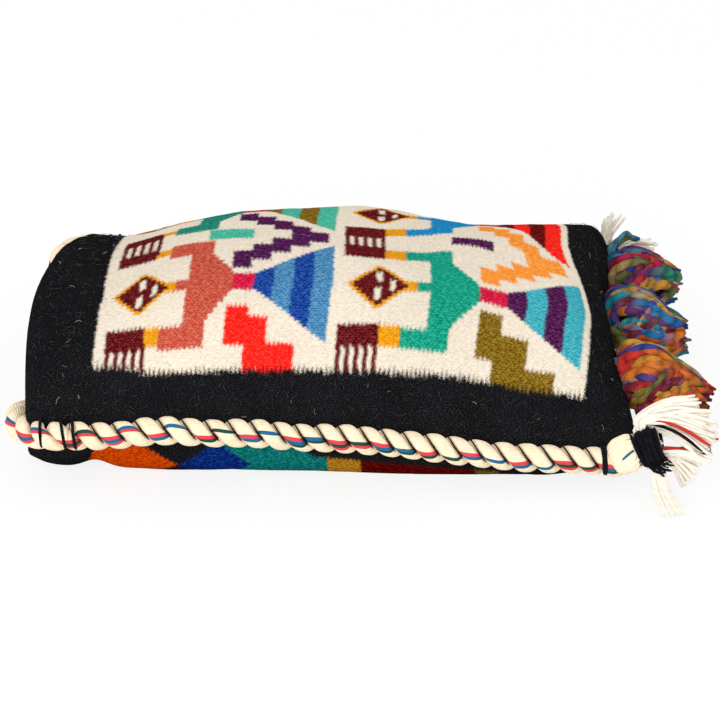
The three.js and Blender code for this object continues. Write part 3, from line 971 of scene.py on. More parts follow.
def floor_finish():
    """Pale floor that looks white and keeps part of the bag's shadow."""
    finish = Finish("pale_floor", **FLOOR_SHINE)
    finish.feed("Base Color", FLOOR_COLOUR)
    glow = finish.node("ShaderNodeEmission", {}, {"Color": WHITE, "Strength": 1.0})
    lit = Wire(finish, finish.shader.outputs[0])
    mixed = finish.node("ShaderNodeMixShader", {}, {0: finish.white_rays() * FLOOR_GLOW, 1: lit, 2: glow})
    finish.join(mixed, finish.tree.nodes["Material Output"].inputs["Surface"])
    return finish


def smooth(t):
    share = np.clip(t, 0, 1)
    return share * share * (3 - 2 * share)


def mix(a, b, t):
    return a + (b - a) * t


def unit(vectors):
    return vectors / np.linalg.norm(vectors, axis=-1, keepdims=True)


def crown(y):
    return 1 - (y / half_width) ** 2


def bottom_edge(y):
    advance = FAR_BOTTOM_ADVANCE * smooth((y - FAR_BOTTOM_START) / (half_width - FAR_BOTTOM_START))
    return bottom_x - BOTTOM_BOW * crown(y) + advance


def to_bottom(x, y, run, power):
    """1 on the body of the bag, falling to 0 at its bottom edge."""
    return 1 - np.clip(1 - (bottom_edge(y) - x) / run, 0, 1) ** power


def hump(x, place, reach, size):
    return size * np.exp(-((x - place) / reach) ** 2)


def seam_height(x, y):
    drop = smooth((x - SEAM_DROP_START) / (bottom_x - SEAM_DROP_START))
    droop = MOUTH_DROOP * smooth((MOUTH_DROOP_START - x) / MOUTH_DROOP_RUN)
    near = mix(NEAR_MOUTH_SEAM, NEAR_BOTTOM_SEAM, drop) - droop
    far = mix(FAR_MOUTH_SEAM, FAR_BOTTOM_SEAM, drop)
    middle = 1 - np.abs(y / half_width) ** BOTTOM_LIFT_POWER
    lift = BOTTOM_LIFT * middle * smooth(1 - (bottom_edge(y) - x) / BOTTOM_LIFT_RUN)
    return mix(near, far, (y + half_width) / BAG_WIDTH) + lift


def mouth_part(x, y):
    opened = smooth((seam_start - x) / MOUTH_PART_RUN)
    return MOUTH_PART * opened * np.abs(y / half_width) ** MOUTH_PART_POWER


def mouth_edge(y):
    corner = np.where(y < 0, NEAR_MOUTH_CORNER, MOUTH_CORNER)
    past = np.maximum(0, np.abs(y) - (half_width - corner))
    inset = corner - np.sqrt(np.maximum(0, corner ** 2 - past ** 2))
    slant = mix(-NEAR_MOUTH_ADVANCE, FAR_MOUTH_SET_BACK, smooth((y + half_width) / BAG_WIDTH))
    return mouth_x - MOUTH_BOW * crown(y) + slant + inset


def front_bulge(x, y):
    share = np.abs(y / half_width)
    body = mix(MOUTH_RISE, BODY_RISE, smooth((x - seam_start) / BODY_RISE_RUN))
    lower = LOWER_RISE_LOSS * smooth(x / LOWER_RISE_RUN)
    end_run = mix(NEAR_END_RUN, FAR_END_RUN, smooth((y + half_width) / BAG_WIDTH))
    end = to_bottom(x, y, end_run, END_POWER)
    pucker = PUCKER * np.sin(FULL_TURN * x / PUCKER_PITCH) * 4 * share * (1 - share)
    to_corner = np.hypot(x - (mouth_x + SEAM_START / 2), np.abs(y) - (half_width - SEAM_START))
    corner = hump(to_corner, 0, CORNER_LIFT_REACH, CORNER_LIFT)
    lean = MOUTH_LEAN * smooth(1 - (x - mouth_x) / MOUTH_LEAN_RUN)
    from_crest = y / half_width + lean * crown(y)
    power = np.where(from_crest < 0, NEAR_CROSS_POWER, FAR_CROSS_POWER)
    arch = (body - lower) * (1 - np.abs(from_crest) ** power)
    shoulder = sum(hump(x, *rise) for rise in FAR_RISES)
    shoulder = shoulder * smooth((y - FAR_RISE_START) / FAR_RISE_RUN)
    return (arch + pucker + (corner + shoulder) * (1 - share ** CORNER_LIFT_POWER)) * end


def back_sag(x, y):
    near_power = np.interp(x, NEAR_BACK_PLACES, NEAR_BACK_POWERS)
    power = np.where(y < 0, near_power, BACK_CROSS_POWER)
    across = BACK_FULLNESS * (1 - np.abs(y / half_width) ** power)
    along = BACK_FULLNESS * to_bottom(x, y, BACK_END_RUN, BACK_END_POWER)
    return np.minimum(1, across) * np.minimum(1, along)


def strip_lift(x, y):
    from_mouth = np.clip(1 - (x - mouth_edge(y)) / STRIP_MOUTH_RUN, 0, 1)
    at_mouth = STRIP_MOUTH_LIFT * from_mouth ** STRIP_MOUTH_POWER
    at_fold = hump(x, *STRIP_FOLD, STRIP_FOLD_LIFT)
    return (at_mouth + at_fold) * smooth((-y - NEAR_STRIP[0]) / NEAR_STRIP[1])


def on_front(share, y):
    x = mix(mouth_edge(y), bottom_edge(y), share)
    sewn = seam_height(x, y) + SEAM_GAP / 2 + CLOTH
    part = mouth_part(x, y) * np.where(y < 0, NEAR_LIP_SHARE, FAR_LIP_SHARE)
    return np.stack([x, y, sewn + front_bulge(x, y) + part], -1)


def on_back(share, y):
    x = mix(mouth_edge(y), bottom_edge(y), share)
    sewn = seam_height(x, y) - SEAM_GAP / 2 - CLOTH
    sag = back_sag(x, y)
    return np.stack([x, y, (sewn - mouth_part(x, y)) * (1 - sag) + strip_lift(x, y) * sag], -1)


def put(name, data):
    """A new object in the scene that shows the given data."""
    made = bpy.data.objects.new(name, data)
    bpy.context.scene.collection.objects.link(made)
    return made


def aim(made, direction):
    """Turns a camera or a light to look in a direction."""
    made.rotation_euler = direction.to_track_quat("-Z", "Y").to_euler()


def piece(name, points, faces, places, map_name, finish, nodes=()):
    """One mesh object from points in millimetres and a pair of map values for each face corner."""
    mesh = bpy.data.meshes.new(name)
    mesh.from_pydata((np.asarray(points) * MM).tolist(), [], faces)
    layer = mesh.uv_layers.new(name=map_name)
    layer.data.foreach_set("uv", np.asarray(places, np.float32).ravel())
    mesh.polygons.foreach_set("use_smooth", [True] * len(mesh.polygons))
    mesh.materials.append(finish.material)
    made = put(name, mesh)
    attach(made, "root")
    if nodes:
        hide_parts(*nodes)
    return made


def arc_places(grid):
    """Lengths along and across a grid of points, each scaled to the flat cloth."""
    def arcs(axis, full):
        steps = np.linalg.norm(np.diff(grid, axis=axis), axis=-1)
        lengths = np.cumsum(steps, axis=axis)
        total = np.take(lengths, [-1], axis=axis)
        start = np.zeros_like(total)
        return np.concatenate([start, lengths], axis=axis) / total * full
    return arcs(0, FLAT_LENGTH), arcs(1, FLAT_WIDTH)


def unevenness(grid):
    """Small rise and fall of a handwoven cloth at each point of a grid."""
    rises = np.zeros(grid.shape[:2])
    for row, column in np.ndindex(rises.shape):
        point = Vector(grid[row, column])
        rises[row, column] = sum(size * noise.noise(point / pitch) for pitch, size in UNEVEN_WAVES)
    return rises


def panel(name, surface, outward, finish, node, pulls):
    """A woven panel with its two faces and its edges, formed on the bag's shape."""
    stations = np.concatenate([LIP_STATIONS, np.linspace(FIRST_STATION, 1, CELLS_ALONG)])
    thickness = np.ones(len(stations))
    thickness[:len(LIP_THICKNESS)] = LIP_THICKNESS
    places_across = np.linspace(-half_width, half_width, CELLS_ACROSS + 1)
    share, y = np.meshgrid(stations, places_across, indexing="ij")
    outside = surface(share, y)
    normal = unit(np.cross(np.gradient(outside, axis=0), np.gradient(outside, axis=1))) * outward
    to_edge = np.minimum(half_width - np.abs(y), bottom_edge(y) - outside[..., 0])
    loose = smooth(to_edge / UPRIGHT_REACH)
    upright = np.array([0, 0, outward])
    direction = unit(mix(upright, normal, loose[..., None]))
    along, across = arc_places(outside)
    level = across
    for pulled_along, pulled_across, shift in pulls:
        reach = ((along - pulled_along) / PULL_LENGTH) ** 2 + ((level - pulled_across) / PULL_WIDTH) ** 2
        across = across + shift * np.exp(-reach)
    if pulls:
        pulled = smooth((along - CORNER_PULL_ALONG[0]) / CORNER_PULL_ALONG[1])
        pulled = pulled * smooth((level - CORNER_PULL_ACROSS[0]) / CORNER_PULL_ACROSS[1])
        along = along + MOUTH_SHIFT + SLANT * np.maximum(0, level - SLANT_START) + CORNER_PULL * pulled
    rise = (unevenness(outside) * loose)[..., None]
    if outward < 0:
        rise = np.minimum(rise, 0)
    outside = outside + direction * rise
    inside = outside - direction * CLOTH * (mix(1, thickness, 0.5)[:, None, None])
    outside = outside - direction * CLOTH * ((1 - thickness) * 0.5)[:, None, None]

    rows, columns = share.shape
    count = rows * columns
    index = np.arange(count).reshape(rows, columns)
    quads = np.stack([index[:-1, :-1], index[1:, :-1], index[1:, 1:], index[:-1, 1:]], -1).reshape(-1, 4)
    outer = quads if outward > 0 else quads[:, ::-1]
    inner = (quads[:, ::-1] if outward > 0 else quads) + count
    loop = np.concatenate([index[:-1, 0], index[-1, :-1], index[:0:-1, -1], index[0, :0:-1]])
    after = np.roll(loop, -1)
    rim = np.stack([after, loop, loop + count, after + count], -1)
    if outward < 0:
        rim = rim[:, ::-1]
    faces = np.concatenate([outer, inner, rim])
    flat = np.stack([along, across], -1).reshape(-1, 2)
    flat = np.concatenate([flat, flat])
    points = np.concatenate([outside.reshape(-1, 3), inside.reshape(-1, 3)])
    made = piece(name, points, faces.tolist(), flat[faces.ravel()], "cloth", finish, (node,))
    return made, outside, direction, along, across


def lengths_along(line):
    """Length of a line from its start to each of its points."""
    return np.concatenate([[0], np.cumsum(np.linalg.norm(np.diff(line, axis=0), axis=1))])


def at_lengths(line, lengths, wanted):
    """Points of a line where its lengths reach the wanted ones."""
    return np.stack([np.interp(wanted, lengths, line[:, axis]) for axis in range(3)], -1)


def smooth_line(points, count):
    """Evenly spaced points on a smooth line through the given ones."""
    knots = np.asarray(points, float)
    knots = np.vstack([2 * knots[0] - knots[1], knots, 2 * knots[-1] - knots[-2]])
    t = np.linspace(0, 1, LINE_STEPS, endpoint=False)[:, None]
    runs = []
    for before, start, end, after in zip(knots, knots[1:], knots[2:], knots[3:]):
        first = np.linalg.norm(start - before) ** 0.5
        middle = np.linalg.norm(end - start) ** 0.5
        last = np.linalg.norm(after - end) ** 0.5
        leave = (start - before) / first - (end - before) / (first + middle) + (end - start) / middle
        arrive = (end - start) / middle - (after - start) / (middle + last) + (after - end) / last
        leave = leave * middle
        arrive = arrive * middle
        square = 3 * (end - start) - 2 * leave - arrive
        cube = 2 * (start - end) + leave + arrive
        runs.append(start + leave * t + square * t ** 2 + cube * t ** 3)
    fine = np.vstack([*runs, knots[-2]])
    lengths = lengths_along(fine)
    return at_lengths(fine, lengths, np.linspace(0, lengths[-1], count))


def carried_frames(line, first_side):
    """Two directions square to a line at each of its points, carried along it without twisting."""
    ahead = unit(np.gradient(line, axis=0))
    side = np.asarray(first_side, float)
    sides = []
    for direction in ahead:
        side = side - direction * side.dot(direction)
        side = side / np.linalg.norm(side)
        sides.append(side)
    sides = np.array(sides)
    return sides, np.cross(ahead, sides)


def spokes(side, up, angle):
    """Directions square to a line, at angles that turn from its side upwards."""
    return side * np.cos(angle)[..., None] + up * np.sin(angle)[..., None]


class Strands:
    """Tubes gathered into one mesh, with the place along and round each of them on a map."""

    def __init__(self):
        self.points = []
        self.faces = []
        self.places = []
        self.count = 0

    @staticmethod
    def cells(values):
        """The values at the four corners of each cell of a tube's grid."""
        after = np.roll(values, -1, axis=1)
        return np.stack([values[:-1], after[:-1], after[1:], values[1:]], -1)

    def rings(self, rings, along, mark, turned=None):
        """One tube from its rings; the mark is a whole number that tells it from the others."""
        rows, sides = rings.shape[:2]
        index = np.arange(rows * sides).reshape(rows, sides) + self.count
        if turned is None:
            turned = np.broadcast_to(np.arange(sides) / sides, (rows, sides))
        round_places = self.cells(turned)
        wrapped = round_places.max(-1, keepdims=True) - round_places > 0.5
        round_places = np.where(wrapped, LAST_PLACE_ROUND, round_places)
        along_places = self.cells(np.broadcast_to(along[:, None], (rows, sides)))
        self.points.append(rings.reshape(-1, 3))
        self.faces.extend(self.cells(index).reshape(-1, 4).tolist())
        self.faces.append(index[0, ::-1].tolist())
        self.faces.append(index[-1].tolist())
        self.places.append(np.stack([along_places, mark + round_places], -1).reshape(-1, 2))
        self.places.append(np.tile([along[0], mark + 0.5], (sides, 1)))
        self.places.append(np.tile([along[-1], mark + 0.5], (sides, 1)))
        self.count += rows * sides

    def yarn(self, line, radius, mark, sides=7, tip=0.5):
        """A round yarn along a line, narrowing at both ends."""
        side, up = carried_frames(line, FIRST_SIDE)
        share = np.linspace(0, 1, len(line))
        width = radius * mix(tip, 1, smooth(np.minimum(share, 1 - share) * YARN_TAPER))
        around = spokes(side[:, None], up[:, None], np.arange(sides) * (FULL_TURN / sides))
        self.rings(line[:, None] + around * width[:, None, None], lengths_along(line), mark)

    def make(self, name, finish, slot, nodes=()):
        points = np.concatenate(self.points)
        places = np.concatenate(self.places)
        return piece(name, points, self.faces, places, "yarn", finish, nodes)


def rope_fade(x):
    """1 along a sewn rope, falling to 0 at its two ends."""
    return smooth((x - seam_start) / ROPE_WANDER_FADE) * smooth((rope_end - x) / ROPE_WANDER_FADE)


def rope_rise(x):
    return sum(size * np.sin(x / run) for run, size in ROPE_WANDERS) * rope_fade(x)


def rope_turn(x):
    """How far a sewn rope is twisted, a little uneven along it."""
    run, size = ROPE_TURN_WANDER
    return FULL_TURN * (x - seam_start) / ROPE_LAY + size * np.sin(x / run) * rope_fade(x)


def lay_rope(strands, line, side, up, turn, along, points_round, handed=1):
    """Two plump strands twisted round each other along a line."""
    off = math.pi / 2 * np.sin(np.linspace(-math.pi / 2, math.pi / 2, points_round))
    lobe = np.clip(1 - np.abs(off * 2 / math.pi) ** LOBE_FULLNESS, 0, 1) ** LOBE_ROUNDING
    reach = rope_radius * np.maximum(lobe, LOBE_LEAST)
    for strand in (0, 1):
        angle = turn[:, None] + math.pi * strand + off
        around = spokes(side[:, None], up[:, None], angle)
        turned = (handed * angle / FULL_TURN + SEEN_SIDE) % 1
        swell = 1 + ROPE_SWELLS * np.sin(along / ROPE_SWELL_RUN + strand * 2)
        strands.rings(line[:, None] + around * (swell[:, None] * reach)[..., None], along, strand, turned)


# Camera
toward = Vector((
    math.sin(CAMERA_YAW) * math.cos(CAMERA_ELEVATION),
    -math.cos(CAMERA_YAW) * math.cos(CAMERA_ELEVATION),
    math.sin(CAMERA_ELEVATION),
))
camera_data = bpy.data.cameras.new("camera")
camera_data.lens = CAMERA_LENS
camera = put("camera", camera_data)
camera.location = (Vector(CAMERA_TARGET) + toward * CAMERA_DISTANCE) * MM
aim(camera, -toward)
bpy.context.scene.camera = camera

# Shoulder strap
rope_look = rope_finish()
strap_lowered = (FAR_MOUTH_SEAM - STRAP_MIDDLE[2]) / (STRAP_HALF_ROUTE[0][2] - STRAP_MIDDLE[2])
far_half = []
for x, y, z in reversed(STRAP_HALF_ROUTE):
    lift = FAR_CURL_LIFT * smooth((FAR_CURL_START - x) / FAR_CURL_RUN)
    far_half.append((x, -y, mix(STRAP_MIDDLE[2], z, strap_lowered) + lift))
strap_route = [*STRAP_HALF_ROUTE, STRAP_MIDDLE, *far_half]
strap_length = float(lengths_along(smooth_line(strap_route, STRAP_MEASURES))[-1])
strap_line = smooth_line(strap_route, round(strap_length / ROPE_LAY * STRAP_RINGS_PER_LAY))
strap_along = np.linspace(0, strap_length, len(strap_line))
strap_side, strap_up = carried_frames(strap_line, ACROSS)
strap_strands = Strands()
lay_rope(strap_strands, strap_line, strap_side, strap_up, FULL_TURN * strap_along / ROPE_LAY,
         seam_start - strap_along, STRAP_POINTS_ROUND, handed=-1)
strap = strap_strands.make("shoulder_strap_rope", rope_look, "rope", ("shoulder_strap",))


# Ropes sewn over the two side seams
def rope_height(x, side):
    return seam_height(x, side * half_width) + rope_rise(x)


def seam_rope(name, node, side):
    count = round((rope_end - seam_start) / ROPE_LAY * SEAM_RINGS_PER_LAY)
    x = np.linspace(seam_start, rope_end, count)
    line = np.stack([x, np.full(count, side * rope_y), rope_height(x, side)], -1)
    across = np.tile([0.0, 1.0, 0.0], (count, 1))
    up = np.tile([0.0, 0.0, 1.0], (count, 1))
    strands = Strands()
    lay_rope(strands, line, across, up, rope_turn(x), x, SEAM_POINTS_ROUND)
    strands.make(name, rope_look, "rope", (node,))


seam_rope("near_seam_rope", "near_side_rope", -1)
seam_rope("far_seam_rope", "far_side_rope", 1)

# Panels
front_look = wool_cloth("front_cloth", front_colour)
back_look = wool_cloth("back_cloth", back_colour)
front, front_points, front_normals, front_along, front_across = panel(
    "front_cloth_panel", on_front, 1, front_look, "front_panel", PULLS)
back = panel("back_cloth_panel", on_back, -1, back_look, "back_panel", ())[0]

# Black thread that holds the ropes to the seams
thread_look = black_yarn_finish()


def groove_thread(strands, side, number):
    """One thread in a groove of the rope, from the cloth over the top and down the outside."""
    turned = np.linspace(*THREAD_SPAN, THREAD_POINTS)
    angle = turned if side < 0 else math.pi - turned
    even = seam_start + ROPE_LAY * (angle / FULL_TURN - 0.25 + number / 2)
    x = 2 * even - seam_start - rope_turn(even) * (ROPE_LAY / FULL_TURN)
    reach = mix(*THREAD_REACH, smooth((turned - THREAD_SINK[0]) / THREAD_SINK[1]))
    height = rope_height(x, side) + reach * np.sin(angle)
    line = np.stack([x, side * rope_y + reach * np.cos(angle), height], -1)
    if x.min() > seam_start - THREAD_OVERHANG and x.max() < rope_end:
        strands.yarn(line, THREAD, number, sides=6)


def whip_stitch(strands, side, x, y, lean, mark):
    """One heavier stitch round the rope, from the cloth over the top and back under."""
    angle = np.linspace(*WHIP_SPAN, WHIP_POINTS)
    reach = rope_radius + WHIP_OUT + WHIP_UNEVEN * np.sin(angle * WHIP_WAVES + mark)
    z = seam_height(x, side * half_width) + reach * np.sin(angle)
    line = np.stack([x + lean * (angle / math.pi - 0.5), side * (-y + reach * -np.cos(angle)), z], -1)
    strands.yarn(line, WHIP, mark)


for side, label in ((-1, "near"), (1, "far")):
    threads = Strands()
    lobes = round(2 * (rope_end - seam_start) / ROPE_LAY)
    for number in range(-1, lobes + 1):
        groove_thread(threads, side, number)
    for number, (x, y, lean) in enumerate(WHIPS):
        whip_stitch(threads, side, x, y, lean, lobes + 2 + number)
    threads.make(label + "_seam_thread", thread_look, "black_yarn")


# Loose yarns
def jitter(source, size):
    return np.array([source.gauss(0, size), source.gauss(0, size), source.gauss(0, size)])


def drawn(source, values):
    """The given values, with a random one drawn from each pair among them."""
    return np.array([source.uniform(*value) if isinstance(value, tuple) else value for value in values])


def shares_of(count):
    """Even shares from 0 to 1 for a number of yarns."""
    return [number / (count - 1) for number in range(count)]


def above_ground(line, least):
    """A line with none of its points lower than a least height."""
    line[:, 2] = np.maximum(line[:, 2], least)
    return line


def wound(route, radius, turns, start):
    """A yarn wound round a line from its start to its end."""
    count = round(turns * POINTS_PER_TURN)
    middle = smooth_line(route, count)
    side, up = carried_frames(middle, ACROSS)
    angle = np.linspace(0, turns * FULL_TURN, count) + start
    reach = radius + WIND_UNEVEN * np.sin(angle * WIND_WAVES + start)
    return middle + spokes(side, up, angle) * reach[:, None]


def sprayed(strands, source, shares, route_of, mark, radius=COTTON_YARN, **options):
    """Loose yarns side by side; a function gives the route of each from its share of the spread."""
    for number, share in enumerate(shares):
        line = above_ground(smooth_line(route_of(source, share, **options), SPRAY_POINTS), radius)
        strands.yarn(line, radius * source.uniform(*SPRAY_WIDTHS), mark + number, tip=0.7)


def add_hairs(strands, source, yarns, count, lengths):
    """Fine wool hairs standing off the yarns."""
    for number in range(count):
        line, mark = source.choice(yarns)
        start = line[source.randrange(HAIR_MARGIN, len(line) - HAIR_MARGIN)]
        heading = unit(jitter(source, 1) + HAIR_LEAN)
        reach = heading * source.uniform(*lengths)
        route = [start, start + reach * HAIR_BEND, start + reach + jitter(source, HAIR_CURL)]
        hair = above_ground(smooth_line(route, HAIR_POINTS), HAIR_HEIGHT)
        strands.yarn(hair, HAIR, mark, sides=3)


# Cream tassels at the bottom corners
cotton_look = cotton_finish()


def neck_route(side):
    height = float(seam_height(rope_end, side * half_width))
    return np.array([(x, side * rope_y, height + rise * NECK_RISE[side]) for x, rise in NECK_ROUTE])


def part_of(route, start, end):
    """The part of a smooth line between two shares of its length."""
    line = smooth_line(route, PART_STEPS + 1)
    return line[round(start * PART_STEPS):round(end * PART_STEPS) + 1:PART_STRIDE]


def corner_binding(name, node, neck):
    """Black yarn wound round a neck, with stray turns, hairs and loose threads."""
    source = random.Random(BINDING_SEED)
    strands = Strands()
    turns = []
    for number, (start, end, radius, count, way) in enumerate(BINDING_LAYERS):
        turns.append(wound(part_of(neck, start, end)[::way], radius, count, number))
    for number in range(STRAY_TURNS):
        route = part_of(neck, source.uniform(*STRAY_STARTS), source.uniform(*STRAY_ENDS))
        route = route[::source.choice((1, -1))]
        radius = source.uniform(*STRAY_RADII)
        count = source.uniform(*STRAY_COUNTS)
        turns.append(wound(route, radius, count, source.uniform(0, FULL_TURN)))
    for number, line in enumerate(turns):
        strands.yarn(line, BINDING_YARN * source.uniform(*BINDING_WIDTHS), number)
    hairy = [(line, number) for number, line in enumerate(turns)][BARE_LAYERS:]
    add_hairs(strands, source, hairy, BINDING_HAIRS, BINDING_HAIR_LENGTHS)
    for number in range(LOOSE_THREADS):
        start = neck[2] + drawn(source, LOOSE_THREAD_FROM)
        end = start + drawn(source, LOOSE_THREAD_TO)
        middle = mix(start, end, 0.5) + drawn(source, LOOSE_THREAD_BEND)
        line = smooth_line([start, middle, end], LOOSE_THREAD_POINTS)
        strands.yarn(line, LOOSE_THREAD, LOOSE_THREAD_MARKS + number, sides=5)
    strands.make(name, thread_look, "black_yarn", (node,))


def swollen_end(strands, neck):
    """Yarns of the rope's end, swelling out before they go under the binding."""
    middle = smooth_line(neck, SWELL_POINTS)[:SWELL_SHOWN]
    share = np.linspace(0, SWELL_SHARES[-1], len(middle))
    reach = np.interp(share, SWELL_SHARES, SWELL_RADII)[:, None]
    side, up = carried_frames(middle, ACROSS)
    for number in range(SWELL_YARNS):
        outward = spokes(side, up, FULL_TURN * number / SWELL_YARNS + SWELL_TWIST * share)
        strands.yarn(middle + outward * reach, SWELL_YARN, SWELL_MARKS + number, sides=9)
        if number == SWELL_YARNS // 2:
            stripe = middle + outward * (reach + STRIPE_OUT)
            strands.yarn(stripe[slice(*STRIPE_PART)], STRIPE_YARN, BLUE_YARN)


near_neck = neck_route(-1)
far_neck = neck_route(1)
corner_binding("near_black_binding", "near_tassel_binding", near_neck)
corner_binding("far_black_binding", "far_tassel_binding", far_neck)
near_out = near_neck[2]
far_out = far_neck[2]


def fan_yarn(source, share, nearer=0.0):
    """Up out of the binding, over a fold, and out to the right in an arch."""
    angle = math.radians(mix(*FAN_ANGLES, share) + source.gauss(0, FAN_ANGLE_STRAY))
    reach = float(np.interp(share, FAN_SHARES, FAN_REACHES)) + source.uniform(*FAN_REACH_STRAY)
    fold = near_out + np.array(FAN_FOLD) + jitter(source, FAN_FOLD_STRAY)
    tip = fold + (AHEAD * math.cos(angle) + VIEW_UP * math.sin(angle)) * reach
    tip = tip + VIEW_AWAY * (mix(*FAN_DEPTHS, share) + source.gauss(0, FAN_DEPTH_STRAY) - nearer)
    middle = mix(fold, tip, 0.5) + VIEW_UP * source.uniform(*FAN_ARCH) - VIEW_AWAY * nearer
    return [near_out + jitter(source, ROOT_STRAY), fold, middle, tip]


def bunch_yarn(source, share):
    """Down out of the binding to the ground in front."""
    start = near_out + mix(*BUNCH_STARTS, share) + jitter(source, BUNCH_START_STRAY)
    bend = np.array([mix(*BUNCH_BENDS, share), *BUNCH_BEND]) + np.array([0, source.gauss(0, 1), 0])
    return [start, bend, drawn(source, (mix(*BUNCH_TIPS, share), *BUNCH_TIP))]


def side_yarn(source, share):
    """Down out of the binding to the right."""
    start = near_out + np.array(SIDE_START) + jitter(source, SIDE_START_STRAY)
    end = mix(*SIDE_TIPS, share) + np.array([0, source.gauss(0, SIDE_TIP_STRAY), 0])
    return [start, mix(start, end, 0.5) + drawn(source, SIDE_LIFT), end]


def standing_yarn(source, share):
    """Straight up beside the far corner of the cloth."""
    start = far_out + jitter(source, ROOT_STRAY)
    end = start + drawn(source, (mix(*STANDING_TIPS, share), *STANDING_TIP))
    return [start, start + np.array(STANDING_BEND), end]


def lying_yarn(source, share):
    """Out to the right, over the far wool tassel."""
    start = far_out + jitter(source, ROOT_STRAY) + np.array(LYING_START)
    end = far_out + drawn(source, (mix(*LYING_TIPS, share), *LYING_TIP))
    return [start, mix(start, end, 0.5) + drawn(source, LYING_LIFT), end]


near_tassel = Strands()
source = random.Random(COTTON_SEED)
swollen_end(near_tassel, near_neck)
sprayed(near_tassel, source, shares_of(FAN_YARNS), fan_yarn, FAN_MARKS)
for mark, share, nearer in FAN_SINGLES:
    sprayed(near_tassel, source, [share], fan_yarn, mark, nearer=nearer)
sprayed(near_tassel, source, shares_of(BUNCH_YARNS), bunch_yarn, BUNCH_MARKS)
sprayed(near_tassel, source, shares_of(SIDE_YARNS), side_yarn, SIDE_MARKS)
for mark in SIDE_SINGLES:
    sprayed(near_tassel, source, [0], side_yarn, mark)
near_tassel.make("near_cream_tassel", cotton_look, "cotton_yarn", ("near_corner_tassel",))

far_tassel = Strands()
swollen_end(far_tassel, far_neck)
sprayed(far_tassel, source, shares_of(STANDING_YARNS), standing_yarn, STANDING_MARKS)
sprayed(far_tassel, source, shares_of(LYING_YARNS), lying_yarn, LYING_MARKS)
far_tassel.make("far_cream_tassel", cotton_look, "cotton_yarn", ("far_corner_tassel",))

# Many-coloured wool tassels along the bottom edge
dyed_look = dyed_finish()


def hank_taper(share):
    return mix(1, HANK_TIP, smooth((share - HANK_SWELL) / (1 - HANK_SWELL)))


def hank_height(share):
    """Half height of a hank along its length: round at the fold, pointed at the tips."""
    fold = np.sqrt(np.clip(1 - (1 - np.minimum(share / HANK_SWELL, 1)) ** 2, 0, 1))
    return fold * hank_taper(share)


def hank_width(share):
    return mix(HANK_FOLD_WIDTH, 1, smooth(share / HANK_SWELL)) * hank_taper(share)


def hank_axis(y, length, drop, share):
    """Middle of a hank at shares of its length, from the cloth's edge outwards."""
    edge = float(bottom_edge(y))
    root = np.array([edge + WOOL_TASSEL_ROOT_GAP + WOOL_YARN, y, float(seam_height(edge, y))])
    route = [root + np.array([along * length, 0, -down * drop]) for along, down in TASSEL_CURVE]
    line = smooth_line(route, HANK_POINTS)
    return at_lengths(line, np.linspace(0, 1, HANK_POINTS), share)


def on_hank(axis_at, share, angle, layer):
    """Points on the outside of a hank, at shares of its length and angles round it."""
    line = axis_at(share)
    height = hank_height(np.maximum(share, HANK_LEAST_SHARE))
    line[:, 1] += np.cos(angle) * hank_width(share) * layer * HANK_SIDE
    line[:, 2] += np.sin(angle) * height * layer * HANK_RADIUS
    return line


def folded_yarn(source, axis_at, place, layer):
    """One yarn of a hank, from its upper tip back to the fold and out again to its lower tip."""
    fine = np.linspace(0, 1, FOLD_POINTS) ** FOLD_CROWDING
    upper = fine[::-1] * source.uniform(*UPPER_TIPS)
    share = np.concatenate([upper, fine[1:] * source.uniform(*LOWER_TIPS)])
    half = np.where(np.arange(len(share)) < FOLD_POINTS, 1, -1)
    tilt = source.gauss(0, FOLD_TILT) + source.uniform(*FOLD_TWIST) * share
    lift = half * hank_height(share) * math.sqrt(1 - place ** 2) * layer * HANK_RADIUS
    aside = place * hank_width(share) * layer * HANK_SIDE
    waves = [np.sin(share * source.uniform(*WAVE_RUNS) + source.uniform(*WAVE_STARTS)) for axis in range(3)]
    line = axis_at(share) + np.stack(waves, -1) * source.uniform(*WAVE_SIZES)
    line[:, 0] -= HANK_LEAN * np.maximum(0, lift / HANK_RADIUS) * (1 - share) ** 2
    line[:, 1] += aside * np.cos(tilt) - lift * np.sin(tilt)
    parting = half * TIP_PARTING * smooth((share - 0.5) * 2)
    line[:, 2] += aside * np.sin(tilt) + lift * np.cos(tilt) + parting
    return line


def loose_yarn(source, axis_at):
    """A yarn that strays over the outside of a hank, from its top down across its near side."""
    share = np.linspace(*drawn(source, LOOSE_SHARES), LOOSE_POINTS)
    angle = np.linspace(*drawn(source, LOOSE_TURNS), LOOSE_POINTS) * math.pi
    return on_hank(axis_at, share, angle, LOOSE_LAYER)


def looped_yarn(source, axis_at):
    """A loop on the outside of a hank, out along one side and back beside it."""
    share = np.array(LOOP_SHARES) * source.uniform(*LOOP_LENGTHS)
    angle = source.uniform(*LOOP_TURNS) * math.pi + np.array(LOOP_ANGLES) * source.uniform(*LOOP_WIDTHS)
    return on_hank(axis_at, share, angle, source.uniform(*LOOP_LAYERS))


